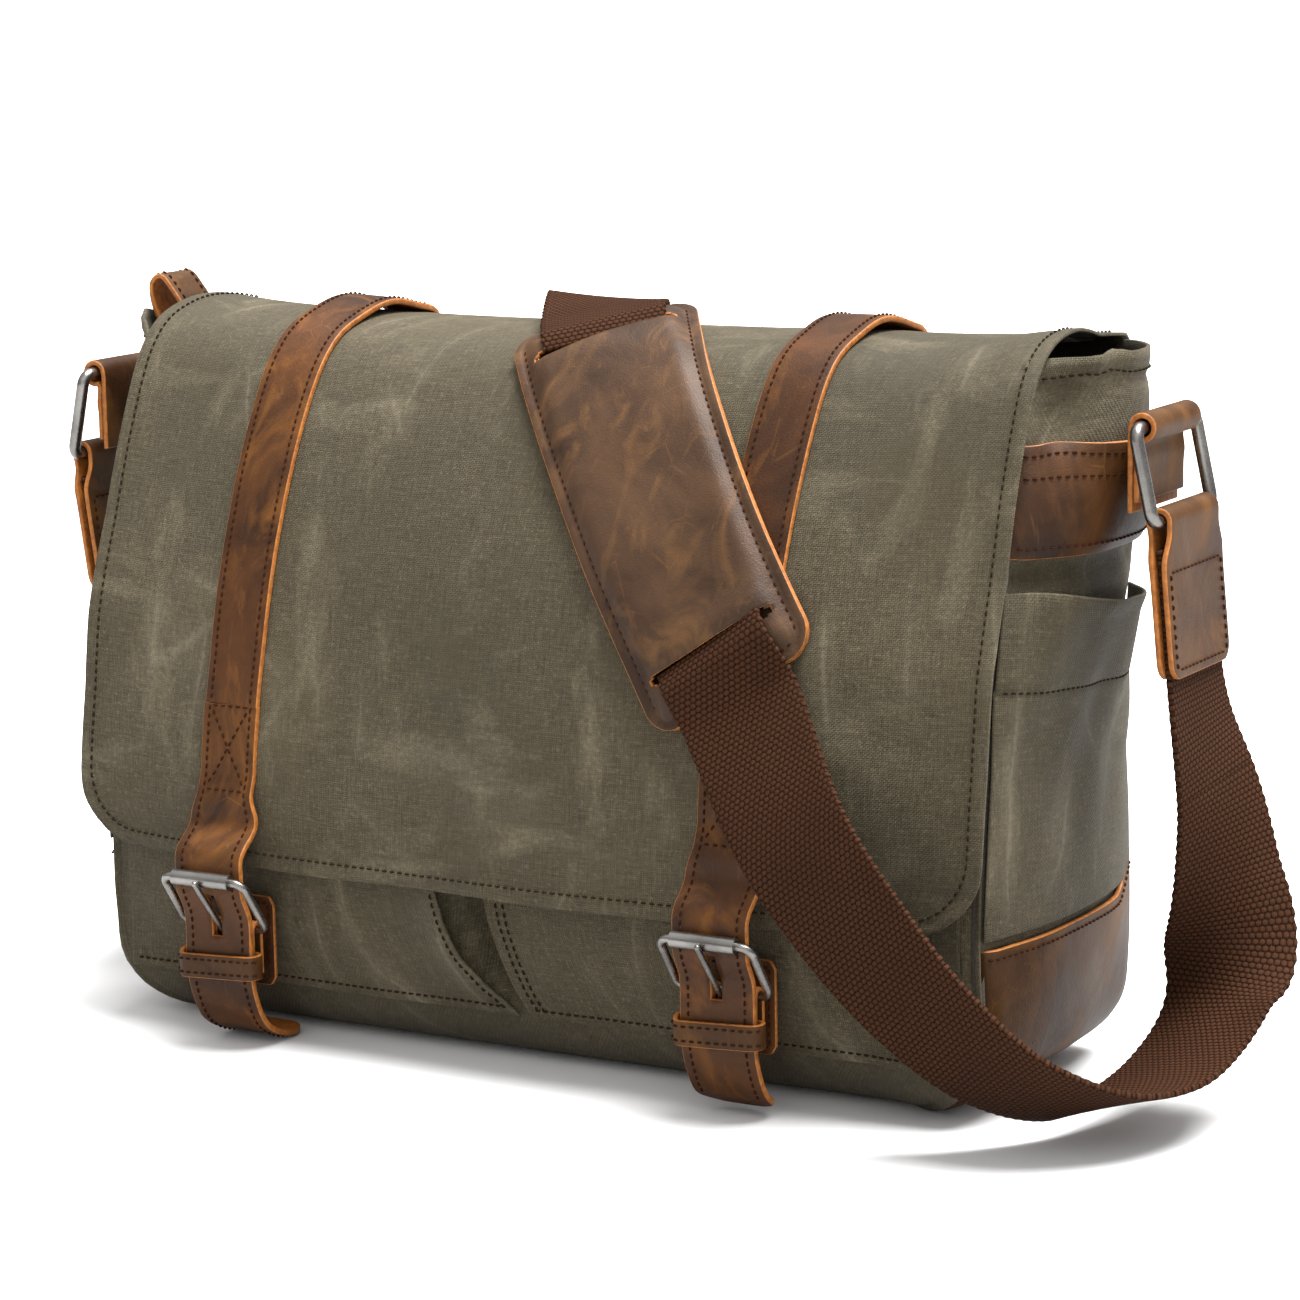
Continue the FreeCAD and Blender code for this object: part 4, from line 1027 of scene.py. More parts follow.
# ------------------------------------------------ front pockets
def pocket_surface(side, lo, hi):
    outer, edge = (lo[0], left_edge) if side == "left" else (hi[0], right_edge)

    def surface(A, B):
        # A runs from 0 at the outer edge to 1 at the bag's middle, B is the height
        inner = np.interp(B, mouth_z, edge)
        x = outer + (inner - outer) * A
        d_out = np.abs(x - outer)
        d_in = np.abs(x - inner)
        puff = 0.0030 * smooth(d_out / 0.035) * smooth((B - lo[2]) / 0.03)
        puff = puff * (1 - 0.7 * smooth((B - 0.12) / 0.04))
        if side == "left":
            lip = smooth((B - 0.024) / 0.03) * smooth((0.135 - B) / 0.03)
            puff = puff + 0.0060 * np.exp(-(d_in / 0.016) ** 2) * lip
        else:
            puff = puff * smooth(d_in / 0.05)
        slack = noise2(x, B, 0.06, 33, 2) * 0.0007 + 0.0002
        puff = puff + slack * smooth((B - lo[2]) / 0.02) * smooth(d_out / 0.02)
        return front_at(x, B, 0.0004 + puff)

    return surface


def front_pocket(side):
    lo, hi = box(f"{side}_front_pocket")
    surface = pocket_surface(side, lo, hi)
    left = side == "left"
    face = surface if left else (lambda A, B: surface(1 - A, B))
    obj = sheet(f"{side}_front_pocket_canvas", face, np.sort(1 - edge_rows(0, 1, 0.014, 0.006)),
                edge_rows(lo[2] - 0.002, hi[2], 0.0035, 0.0006), 0.0013, CLOTH, (0.006, 0.0006))
    for item in obj.data.uv_layers[0].data:
        item.uv[0] *= 0.18
    finish_piece(obj, "bag_body", "canvas", f"{side}_front_pocket")
    zs = np.linspace(lo[2] + 0.001, hi[2] - 0.004, 160)
    rows = [on_surface(face, np.full_like(zs, a), zs, 0.0014)
            for a in ((0.985,) if left else (1 - 0.972, 1 - 0.955))]
    a = np.linspace(0.02, 0.98, 200)
    rows.append(on_surface(face, a, np.full_like(a, lo[2] + 0.002), 0.0014))
    sew(f"{side}_front_pocket_stitches", rows, "bag_body", leather=False)


for side in ("left", "right"):
    front_pocket(side)


# ------------------------------------------------ parts sewn on the bag's ends
def end_at(side, y, z, lift=0.0):
    """Point of an end panel with a clearance along its outward direction."""
    e = 0.0015
    g = end_depth[side]
    p = np.stack([g(y, z), y, z], -1)
    n = np.stack([np.full_like(y, side * 1.0), -side * (g(y + e, z) - g(y - e, z)) / (2 * e),
                  -side * (g(y, z + e) - g(y, z - e)) / (2 * e)], -1)
    return p + unit(n) * np.asarray(lift)[..., None]


def tuck(p, side, u):
    """Turns the front margin of a sewn-on sheet into the seam."""
    t = smooth((0.045 - u) / 0.045)
    return p + np.stack([-side * 0.0042 * t, 0.0006 * t, 0 * t], -1)


def seam_y(z, front, back):
    """Where the end's two seams run at height z, moved by a margin each."""
    return [np.interp(z, SHELL[:, c, 2], SHELL[:, c, 1]) + margin
            for c, margin in ((NX, front), (NX + NY - 1, back))]


def side_pocket(side, name):
    """Patch pocket with a deep hem."""
    lo, hi = box(f"{name}_side_pocket")

    def pocket_end(A, B):
        u = A if side > 0 else 1 - A
        top = hi[2] - 0.012 * u
        z = lo[2] - 0.014 + (top - lo[2] + 0.014) * B
        y0, y1 = seam_y(z, 0.0012, -0.0012)
        y = y0 + (y1 - y0) * u
        off = 0.0012 + 0.0040 * (1 - np.abs(2 * u - 1) ** 3) * smooth(B * 1.4)
        off = off + 0.0024 * smooth((B - 0.93) / 0.07) * np.sin(u * math.pi) ** 2
        off = off + 0.0006 * np.sin(u * 22 + 2.5 * np.sin(B * 5)) * smooth(B * 2)
        hem = 0.0006 * smooth((B - 0.725) / 0.01) - 0.0005 * bump(B, 0.722, 0.009)
        return end_at(side, y, z, off + hem)

    obj = sheet(f"{name}_side_pocket_canvas", pocket_end, edge_rows(0, 1, 0.028, 0.01),
                edge_rows(0, 1, 0.018, 0.008, extra=(0.715, 0.722, 0.735)), 0.0014,
                CLOTH, (0.01, 0.008))
    for item in obj.data.uv_layers[0].data:
        item.uv = (item.uv[0] * 0.13, item.uv[1] * 0.12 + 0.31 * side)
    finish_piece(obj, "bag_body", "canvas", f"{name}_side_pocket")
    a = np.linspace(0.03, 0.97, 120)
    rows = [on_surface(pocket_end, a, np.full_like(a, 0.722), 0.0014)]
    sew(f"{name}_side_pocket_stitches", rows, "bag_body", leather=False)


def corner_guard(side, name):
    hi = box(f"{name}_corner_guard")[1]

    def guard(A, B):
        u = A if side > 0 else 1 - A
        top = 0.0705 + (hi[2] - 0.0705) * smooth((u - 0.78) / 0.2)
        ang = np.minimum(B / 0.55, 1) * (math.pi / 2 - 0.30) + 0.30
        z = np.where(B < 0.55, 0.045 * (1 - np.cos(ang)), 0.045 + (top - 0.045) * (B - 0.55) / 0.45)
        y0, y1 = seam_y(z, 0.0014, -0.0012)
        y = y0 + (y1 - y0) * u
        return tuck(end_at(side, y, z, 0.0007 + 0.0004 * noise2(y, z, 0.05, 3, 2)), side, u)

    finish_piece(sheet(f"{name}_corner_guard_leather", guard, edge_rows(0, 1, 0.022, 0.009),
                       edge_rows(0, 1, 0.025, 0.012), TRIM_T, TAN, (0.009, 0.012)),
                 "bag_body", "leather", f"{name}_corner_guard")
    a = np.linspace(0.03, 0.97, 160)
    rows = [on_surface(guard, a, np.full_like(a, 0.94), TRIM_T)]
    sew(f"{name}_corner_guard_stitches", rows, "bag_body")


def side_band(side, name):
    """Leather band under the ring, in a darkened copy of the leather that paints the shade on it."""
    lo, hi = box(f"{name}_side_band")

    def band(A, B):
        u = A if side > 0 else 1 - A
        z = lo[2] + (hi[2] - lo[2]) * B
        y0, y1 = seam_y(z, 0.0014, -0.0012)
        return tuck(end_at(side, y0 + (y1 - y0) * u, z, 0.0008 + 0.0 * z), side, u)

    finish_piece(sheet(f"{name}_side_band_leather", band, edge_rows(0, 1, 0.022, 0.009),
                       edge_rows(0, 1, 0.06, 0.02), TRIM_T, BAND_IN_SHADE, (0.009, 0.02)),
                 "bag_body", "leather", f"{name}_side_band")
    a = np.linspace(0.03, 0.97, 160)
    rows = [on_surface(band, a, np.full_like(a, h), TRIM_T) for h in (0.09, 0.70, 0.90)]
    sew(f"{name}_side_band_stitches", rows, "bag_body")


for side, name in ((1, "right"), (-1, "left")):
    side_pocket(side, name)
    corner_guard(side, name)
    side_band(side, name)

# ------------------------------------------------ flap
BLEND_A, BLEND_B = (0, 0.0580, 0.2800), (0, 0.0360, 0.2915)
OVER = ("bag_body", "flap", BLEND_A, BLEND_B)
flap_rows_x = edge_rows(-FLAP_HALF, FLAP_HALF, 0.0036, 0.0008)
flap_rows_s = edge_rows(-0.048, FLAP_LEN, 0.0034, 0.0008, extra=(FLAP_LEN - 0.0085,))


def hem_gap(A, B):
    return np.minimum(FLAP_HALF - np.abs(A), FLAP_LEN - B)


def flap_face(A, B):
    """Outer face of the flap, with its doubled hem."""
    x, s = flap_warp(A, B)
    gap = hem_gap(A, B)
    hem = 0.0004 * smooth((0.0082 - gap) / 0.0014) - 0.0004 * np.exp(-((gap - 0.0088) / 0.0011) ** 2)
    near = smooth((s - 0.004) / 0.02)
    return flap_at(x, s, hem * near - 0.0016)


def flap_flip(f):
    return (lambda A, B: f(-A, B)) if OUT < 0 else f


obj = sheet("flap_canvas", flap_flip(flap_face), flap_rows_x, flap_rows_s, 0.0016, CLOTH, 0.0008)
finish_piece(obj, OVER, "canvas", "flap_shell", "flap_seam_band")


def hem_path(inset, r):
    """Positions (x, s) along the flap's sides and hem, `inset` from its edge."""
    h, w = FLAP_LEN - inset, FLAP_HALF - inset
    r = r - inset
    t = np.linspace(0, math.pi / 2, 14)
    pts = [(-w, s) for s in np.linspace(0.006, h - r, 90)]
    pts += [(-w + r - r * math.cos(a), h - r + r * math.sin(a)) for a in t]
    pts += [(x, h) for x in np.linspace(-w + r, w - r, 120)[1:-1]]
    pts += [(w - r + r * math.sin(a), h - r + r * math.cos(a)) for a in t]
    pts += [(w, s) for s in np.linspace(h - r, 0.006, 90)]
    return np.array(pts).T


def on_flap(x, s, lift):
    p = flap_at(x, s, lift)
    n = unit(flap_at(x, s, lift + 0.001) - p)
    return p, n


hx, hs = hem_path(0.0062, HEM_R)
sew("flap_hem_stitches", [(*on_flap(hx, hs, 0.0002), {"pitch": 0.0036})], OVER, leather=False)
rear = np.linspace(-FLAP_HALF + 0.008, FLAP_HALF - 0.008, 200)
rows = [on_flap(rear, np.full_like(rear, s), 0.0002) for s in (-0.044, -0.016)]
sew("flap_rear_stitches", rows, OVER, leather=False)

LINING_HALF = FLAP_HALF * 0.955
finish_piece(sheet("flap_lining_cloth", flap_flip(lambda A, B: flap_at(*flap_warp(A, B), -0.0026)),
                   edge_rows(-LINING_HALF, LINING_HALF, 0.0055, 0.0005),
                   edge_rows(0.014, FLAP_LEN - 0.011, 0.005, 0.0005), 0.0007, [LINING], 0.0005),
             "flap", "lining_cloth", "flap_lining")

# ------------------------------------------------ closure straps on the flap
STRAP_W, STRAP_T = 0.026, 0.0026
TIP_R = 0.010              # radius of the corners of a strap's tip
WIRE_R = 0.0017            # radius of the buckle's wire
JOIN_Z = 0.1395            # the two visible lengths of each strap meet under a stitch row
JP = {j["name"]: vec(j["pos_m"]) for j in frame["joints"] if "pos_m" in j}     # the joints' places


def strap_over(x0):
    """Upper strap: from the back panel over the crease and down the flap."""
    def surface(A, B):
        lift = 0.0003 + 0.0034 * np.exp(-((B - 0.030) / 0.020) ** 2) + 0.0008 * smooth((0.0 - B) / 0.01)
        return flap_at(x0 + A, B, lift)
    return surface


class Line:
    """Smooth curve through control points, looked up by distance along it."""

    def __init__(self, pts):
        pts = np.asarray(pts, float)
        key = np.concatenate([[0], np.cumsum(np.linalg.norm(np.diff(pts, axis=0), axis=1))])
        self.key = key
        m = np.zeros_like(pts)
        for i in range(1, len(pts) - 1):
            m[i] = (pts[i + 1] - pts[i - 1]) / (key[i + 1] - key[i - 1])
        m[0] = (pts[1] - pts[0]) / (key[1] - key[0])
        m[-1] = (pts[-1] - pts[-2]) / (key[-1] - key[-2])
        u = np.linspace(0, key[-1], 1400)
        i = np.clip(np.searchsorted(key, u, side="right") - 1, 0, len(key) - 2)
        h = key[i + 1] - key[i]
        t = ((u - key[i]) / h)[:, None]
        h = h[:, None]
        self.dense = ((2 * t**3 - 3 * t**2 + 1) * pts[i] + (t**3 - 2 * t**2 + t) * h * m[i]
                      + (3 * t**2 - 2 * t**3) * pts[i + 1] + (t**3 - t**2) * h * m[i + 1])
        self.u = u
        self.s = np.concatenate([[0], np.cumsum(np.linalg.norm(np.diff(self.dense, axis=0), axis=1))])
        self.length = self.s[-1]

    def __call__(self, s):
        return np.stack([np.interp(s, self.s, self.dense[:, k]) for k in range(3)], -1)


def strap_down(side, x0):
    """Free strap's middle line from the flap through the buckle to its tip under the bag."""
    top = JP[f"{side}_closure_lift"]
    roll, bar = JP[f"{side}_roller_spin"], JP[f"{side}_prong_lift"]
    t = STRAP_T / 2
    behind = roll[1] + 0.0032 + t + 0.0004              # y behind the roller
    over = bar[1] - WIRE_R - FOLD_T - t - 0.0009        # y in front of the fold round the bar
    s_join = flap_s(x0, JOIN_Z)
    s = np.linspace(s_join, flap_s(x0, 0.112), 6)
    upper = flap_at(np.full(6, x0), s, 0.0003 + t)
    lower = [(top[1] - 0.0002, top[2] - 0.001), (top[1] - 0.0014, 0.092), (behind + 0.0006, 0.082),
             (behind, roll[2]), (behind + 0.0002, 0.0665), (over - 0.0007, 0.057), (over, 0.050),
             (over, 0.038), (over + 0.0016, 0.025), (over + 0.0090, 0.0105)]
    if side == "right":
        lower += [(over + 0.0205, 0.0034)]
    else:
        lower += [(over + 0.023, 0.0029), (-0.0620, 0.0020)]
    pts = [tuple(p) for p in upper] + [(x0, y, z) for y, z in lower]
    return Line(pts)


def band_surface(line, x0, flip=1.0):
    """Flat strip across x along a line in the y-z plane."""
    def surface(A, B):
        p = line(B)
        return np.stack([x0 + flip * A, p[..., 1], p[..., 2]], -1)
    return surface


def rows_along(surface, a, b0, b1, lift, n=None):
    n = n or max(8, int((b1 - b0) / 0.0012))
    b = np.linspace(b0, b1, n)
    return on_surface(surface, np.full(n, a), b, lift)


def rows_across(surface, b, a0, a1, lift, n=40):
    a = np.linspace(a0, a1, n)
    return on_surface(surface, a, np.full(n, b), lift)


def upper_strap(side, x0):
    """Sewn length of a strap, with its rear end, which runs on below the flap's margin."""
    over = strap_over(x0)
    s_join = flap_s(x0, JOIN_Z)

    def upper(A, B):
        p = over(A, np.maximum(B, -0.046))
        down = np.minimum(B + 0.046, 0)
        q = over(A, np.full_like(B, -0.046)) - over(A, np.full_like(B, -0.044))
        return p + unit(q) * (-down)[..., None]

    face = flap_flip(upper)
    start = box(f"{side}_strap_anchor")[0][2] - 0.2415
    finish_piece(sheet(f"{side}_strap_upper", face,
                       edge_rows(-STRAP_W / 2, STRAP_W / 2, 0.003, EDGE_R),
                       edge_rows(start, s_join, 0.003, EDGE_R), STRAP_T, BROWN, EDGE_R, ends=(1, 1, 1, 0)),
                 OVER, "leather", f"{side}_flap_strap", f"{side}_strap_anchor")
    rows = [rows_along(face, a, start + 0.003, s_join - 0.001, STRAP_T) for a in (-0.0098, 0.0098)]
    rows.append(rows_across(face, start + 0.003, -0.0098, 0.0098, STRAP_T))
    sew(f"{side}_strap_upper_stitches", rows, OVER)


def lower_strap(side, x0):
    """Free length of a strap; across it, A runs from -1 to 1."""
    line = strap_down(side, x0)
    fold = JP[f"{side}_closure_lift"]
    s_fold = float(line.s[np.argmin(np.abs(line.dense[:, 2] - fold[2]))])

    def lower(A, B):
        p = line(B)
        wide = STRAP_W / 2 + 0.003 * smooth((B - s_fold + 0.003) / 0.012)
        shrink = corner_inset(line.length - B, TIP_R)
        return np.stack([x0 + A * (wide - shrink), p[..., 1], p[..., 2]], -1)

    def prong_hole(A, B):
        z = line(B)[..., 2]
        return (np.abs(A) < 0.16) & (z < 0.0665) & (z > 0.0475)

    face = facing(lower, (-1, 1), (0.0, 0.01), (0, -1, 0))
    bend = ("flap", f"{side}_closure", (x0, fold[1], fold[2] + 0.006), (x0, fold[1], fold[2] - 0.005))
    obj = sheet(f"{side}_strap_lower", face, edge_rows(-1, 1, 0.16, 0.055, extra=(-0.16, 0.16)),
                edge_rows(0, line.length, 0.0022, EDGE_R), STRAP_T, BROWN, (0.055, EDGE_R),
                ends=(1, 1, 0, 0), hole=prong_hole, lift=-STRAP_T / 2)
    finish_piece(obj, bend, "leather", f"{side}_strap_tongue")
    # two long rows, and a crossed box where the strap is sewn to the flap
    s_box = s_fold - 0.003
    rows = [rows_along(face, a, 0.0, line.length - 0.012, STRAP_T / 2) for a in (-0.76, 0.76)]
    rows += [rows_across(face, b, -0.70, 0.70, STRAP_T / 2) for b in (0.0006, s_box)]
    t = np.linspace(0, 1, 40)
    rows += [on_surface(face, k * (-0.66 + 1.32 * t), 0.002 + (s_box - 0.004) * t, STRAP_T / 2)
             for k in (1, -1)]
    sew(f"{side}_strap_lower_stitches", rows, bend)


def buckle_fold(side, x0):
    """Leather fold round the buckle's lower bar, slotted for the prong."""
    bar = JP[f"{side}_prong_lift"]
    r = WIRE_R + 0.0002 + FOLD_T / 2
    arc = np.linspace(math.pi, 0, 16)
    low = box(f"{side}_buckle_chape")[0][2]
    pts = [(x0, bar[1] - r, z) for z in np.linspace(low, bar[2] - 0.001, 6)]
    pts += [(x0, bar[1] + r * math.cos(a), bar[2] + r * math.sin(a)) for a in arc]
    pts += [(x0, bar[1] + r, z) for z in np.linspace(bar[2] - 0.001, low, 6)]
    loop = Line(pts)

    def slot(A, B):
        return (np.abs(A) < 0.0032) & (loop(B)[..., 2] > bar[2] - 0.0065)

    finish_piece(sheet(f"{side}_buckle_fold", band_surface(loop, x0, -1.0),
                       edge_rows(-0.015, 0.015, 0.002, 0.0006, extra=(-0.0032, 0.0032)),
                       edge_rows(0, loop.length, 0.0012, 0.0006), FOLD_T, TAN, 0.0006,
                       hole=slot, lift=-FOLD_T / 2),
                 f"{side}_closure", "leather", f"{side}_buckle_chape")


def keeper_loop(side, x0):
    lo, hi = box(f"{side}_keeper")
    t, c = FOLD_T, 0.0036       # c is the radius of the loop's corners
    x_lo, x_hi, y_lo, y_hi = lo[0] + t / 2, hi[0] - t / 2, lo[1] + t / 2, hi[1] - t / 2
    pts = [(x0, y_hi), (x_lo + c, y_hi)]
    for cx, cy, a0 in ((x_lo + c, y_hi - c, 90), (x_lo + c, y_lo + c, 180),
                       (x_hi - c, y_lo + c, 270), (x_hi - c, y_hi - c, 0)):
        for a in np.radians(np.linspace(a0, a0 + 90, 6)):
            pts.append((cx + c * math.cos(a), cy + c * math.sin(a)))
    pts += [(x0 + 0.0005, y_hi)]
    around = Line([(x, y, 0) for x, y in pts])

    def keeper(A, B):
        p = around(B)
        mid = (lo[2] + hi[2]) / 2
        front = smooth((-(p[..., 1] - lo[1]) + 0.006) / 0.006)
        tilt = 0.0010 * (p[..., 0] - x0) / 0.019
        return np.stack([p[..., 0], p[..., 1], mid + A + tilt * front - 0.0008 * front], -1)

    face = facing(keeper, (-0.004, 0.004), (0.47 * around.length, 0.53 * around.length), (0, -1, 0))
    half = (hi[2] - lo[2]) / 2
    finish_piece(sheet(f"{side}_keeper_leather", face, edge_rows(-half, half, 0.002, 0.0006),
                       edge_rows(0, around.length, 0.0014, 0.0), t, TAN, 0.0006,
                       ends=(1, 1, 0, 0), lift=-t / 2), f"{side}_closure", "leather", f"{side}_keeper")
    b = np.linspace(0.26, 0.74, 60) * around.length
    rows = [on_surface(face, np.full_like(b, a), b, t / 2) for a in (-half + 0.0022, half - 0.0022)]
    sew(f"{side}_keeper_stitches", rows, f"{side}_closure")


def snap_patch(side):
    """Leather patch behind the snap, sewn to the pocket."""
    lo, hi = box(f"{side}_snap_patch")
    mid, w = (lo[0] + hi[0]) / 2, (hi[0] - lo[0]) / 2

    def patch(A, B):
        return np.stack([A, np.full_like(A, hi[1]), B], -1)

    def round_patch(A, B):
        inset = corner_inset(np.minimum(B - lo[2], hi[2] - B), 0.004)
        return patch(mid + (A - mid) * (w - inset) / w, B)

    finish_piece(sheet(f"{side}_snap_patch_leather", round_patch, edge_rows(lo[0], hi[0], 0.003, 0.0006),
                       edge_rows(lo[2], hi[2], 0.003, 0.0006), FOLD_T, BROWN, 0.0006),
                 "bag_body", "leather", f"{side}_snap_patch")
    half, low, high = 0.0145, lo[2] + 0.003, hi[2] - 0.003      # the sewn rectangle
    zz = np.linspace(low, high, 40)
    xx = np.linspace(mid - half, mid + half, 40)
    rows = [on_surface(patch, np.full_like(zz, mid + k), zz, FOLD_T) for k in (-half, half)]
    rows += [on_surface(patch, xx, np.full_like(xx, z), FOLD_T) for z in (low, high)]
    sew(f"{side}_snap_patch_stitches", rows, "bag_body")


for side, x0 in STRAPS.items():
    upper_strap(side, x0)
    lower_strap(side, x0)
    buckle_fold(side, x0)
    keeper_loop(side, x0)
    snap_patch(side)

# ------------------------------------------------ shoulder pad
verts = np.array([tuple(v.co) for v in frame["nodes"]["shoulder_pad_face"].data.vertices])
s_probe = np.linspace(0.01, FLAP_LEN, 500)
mid_line = flap_grid(np.full_like(s_probe, 0.05), s_probe)
near = [int(np.argmin(np.hypot(mid_line[:, 1] - v[1], mid_line[:, 2] - v[2]))) for v in verts]
flat = np.stack([verts[:, 0], s_probe[near]], -1)


def fit_rectangle(points):
    """Direction and limits of the smallest rectangle round points in the plane."""
    best = None
    for deg in np.arange(20.0, 50.0, 0.1):
        t = math.radians(deg)
        along = points @ [math.sin(t), math.cos(t)]
        across = points @ [math.cos(t), -math.sin(t)]
        area = np.ptp(along) * np.ptp(across)
        if best is None or area < best[0]:
            best = (area, t, along.min(), along.max(), across.min(), across.max())
    return best[1:]


PAD_TURN, P0, P1, Q0, Q1 = fit_rectangle(flat)
PAD_L, PAD_W, PAD_R = 0.188, 0.074, 0.012      # length, width and radius of the corners
p_mid, q_mid = (P0 + P1) / 2, (Q0 + Q1) / 2


def pad_place(q, p):
    """Position on the flap of a point `p` down the pad from its middle and `q` across it."""
    a, b = p + p_mid, q + q_mid
    c, s = math.cos(PAD_TURN), math.sin(PAD_TURN)
    return a * s + b * c, a * c - b * s


def pad_lift(x, s):
    under = bump(x, STRAPS["right"], 0.024) + bump(x, STRAPS["left"], 0.024)
    return 0.0013 + 0.0030 * np.minimum(under, 1) + 0.0115 * np.clip((0.070 - s) / 0.050, 0, 1.2) ** 2


def pad_warp(A, B):
    """Rounds the pad's four corners."""
    return round_corners(A, PAD_L / 2 - np.abs(B), PAD_W / 2, PAD_R), B


def pad_surface(extra):
    def surface(A, B):
        q, p = pad_warp(A, B)
        x, s = pad_place(q, p)
        return flap_at(x, s, pad_lift(x, s) + extra(A, B))
    return surface


def pad_edge(A, B):
    return np.minimum(PAD_W / 2 - np.abs(A), PAD_L / 2 - np.abs(B))


SLOT_AT = PAD_L / 2 - 0.020


def face_rise(A, B):
    g = pad_edge(A, B)
    crown = 0.0033 * smooth((g - 0.0045) / 0.007)
    groove = -0.0006 * np.exp(-((g - 0.0046) / 0.0011) ** 2)
    mouth = 0.0018 * np.exp(-((np.abs(B) - SLOT_AT + 0.005) / 0.007) ** 2)
    mouth = mouth * smooth((0.030 - np.abs(A)) / 0.006)
    soft = noise2(A, B, 0.05, 51, 2) * 0.0004 * smooth(g / 0.01)
    return 0.0018 + crown + groove + mouth + soft


def pad_slot(A, B):
    off = np.abs(np.abs(B) - SLOT_AT)
    return (off < 0.0021) & (np.abs(A) < 0.0275 - 0.0016 * (off > 0.0012))


# rows of the pad, with some exactly on the slots' edges
pad_a = edge_rows(-PAD_W / 2, PAD_W / 2, 0.0018, EDGE_R)
pad_b = edge_rows(-PAD_L / 2, PAD_L / 2, 0.0016, EDGE_R)
slot_rows = SLOT_AT + np.array([-0.0034, -0.0021, -0.0012, 0.0, 0.0012, 0.0021, 0.0034])
clear = pad_b[np.abs(np.abs(pad_b) - SLOT_AT) > 0.0042]
pad_b = np.sort(np.concatenate([clear, slot_rows, -slot_rows]))
clear = pad_a[np.abs(np.abs(pad_a) - 0.0267) > 0.0018]
pad_a = np.sort(np.concatenate([clear, [-0.0275, -0.0259, 0.0259, 0.0275]]))
finish_piece(sheet("shoulder_pad_back_leather", flap_flip(pad_surface(lambda A, B: 0 * A)), pad_a,
                   edge_rows(-PAD_L / 2, PAD_L / 2, 0.003, EDGE_R), FOLD_T, PAD, EDGE_R),
             "flap", "leather", "shoulder_pad_back")
finish_piece(sheet("shoulder_pad_face_leather", flap_flip(pad_surface(face_rise)), pad_a, pad_b,
                   FOLD_T, PAD, EDGE_R, hole=pad_slot),
             "flap", "leather", "shoulder_pad_face")


def pad_outline(inset):
    """Path round the pad, `inset` from its edge."""
    h, w, r = PAD_L / 2 - inset, PAD_W / 2 - inset, PAD_R - inset
    pts = []
    for cx, cy, a0 in ((w - r, h - r, 0), (-w + r, h - r, 90),
                       (-w + r, -h + r, 180), (w - r, -h + r, 270)):
        quarter = np.radians(np.linspace(a0, a0 + 90, 10))
        pts += [(cx + r * math.cos(a), cy + r * math.sin(a)) for a in quarter]
    pts.append(pts[0])
    pts = np.array(pts)
    seg = np.concatenate([[0], np.cumsum(np.hypot(*np.diff(pts, axis=0).T))])
    u = np.linspace(0, seg[-1], 420)
    return np.interp(u, seg, pts[:, 0]), np.interp(u, seg, pts[:, 1])


pad_x, pad_s = pad_place(*pad_outline(0.0046))
pad_p, pad_n = on_flap(pad_x, pad_s, 0.0)
seat = pad_lift(pad_x, pad_s) + FOLD_T - 0.0006 + FOLD_T        # bottom of the sewn groove
sew("shoulder_pad_stitches", [(pad_p + pad_n * seat[:, None], pad_n, {"pitch": 0.0036})], "flap")


def middle(A, B):
    x, s = pad_place(A, B)
    return flap_at(x, s, pad_lift(x, s) + 0.0020)


finish_piece(sheet("webbing_in_pad", flap_flip(middle), edge_rows(-0.025, 0.025, 0.004, 0.0006),
                   edge_rows(-SLOT_AT + 0.003, SLOT_AT - 0.003, 0.004), 0.0022, [WEB], 0.0006),
             "flap", "webbing", "webbing_middle")

# ------------------------------------------------ rings' leather and the shoulder webbing
WEB_W, WEB_T = 0.050, 0.0024
RINGS = {1: "right", -1: "left"}


def tab_direction(name):
    """The way a strap's end hangs from its ring."""
    tab = np.array([tuple(v.co) for v in frame["nodes"][f"{name}_strap_tab"].data.vertices])
    eye = JP[f"{name}_tab_swing"]
    low = tab[tab[:, 2] < tab[:, 2].min() + 0.002].mean(0)
    return unit(vec([low[0] - eye[0], 0, low[2] - eye[2]]))


TAB_DIR = {side: tab_direction(name) for side, name in RINGS.items()}


def ring_loop(side, name):
    """Leather loop that holds the ring, sewn behind the band."""
    pin = JP[f"{name}_ring_swing"]
    lo, hi = box(f"{name}_ring_chape")
    r = (abs(hi[0] - lo[0])) / 2 - 0.0011
    t = TRIM_T
    ang = np.radians(np.linspace(180, -110, 26))
    pts = [(pin[0] - side * (r + 0.0002), z) for z in np.linspace(lo[2], pin[2] - 0.001, 7)]
    pts += [(pin[0] + side * r * math.cos(a), pin[2] + r * math.sin(a)) for a in ang]
    last = pts[-1]
    inner_x = pin[0] - side * (r - t - 0.0001)
    pts += [(last[0] - side * 0.0009, last[1] - 0.0025), (inner_x + side * 0.0004, pin[2] - 0.0125),
            (inner_x, pin[2] - 0.017), (inner_x, lo[2] + 0.004)]
    hold = Line([(x, 0, z) for x, z in pts])

    def around(A, B):
        p = hold(B)
        return np.stack([p[..., 0], pin[1] + A, p[..., 2]], -1)

    face = facing(around, (-0.01, 0.01), (0.001, 0.008), (-side, 0, 0))
    finish_piece(sheet(f"{name}_ring_loop_leather", face, edge_rows(-0.022, 0.022, 0.003, EDGE_R),
                       edge_rows(0, hold.length, 0.0011, EDGE_R), t, TAN, EDGE_R, lift=-t / 2),
                 "bag_body", "leather", f"{name}_ring_chape")


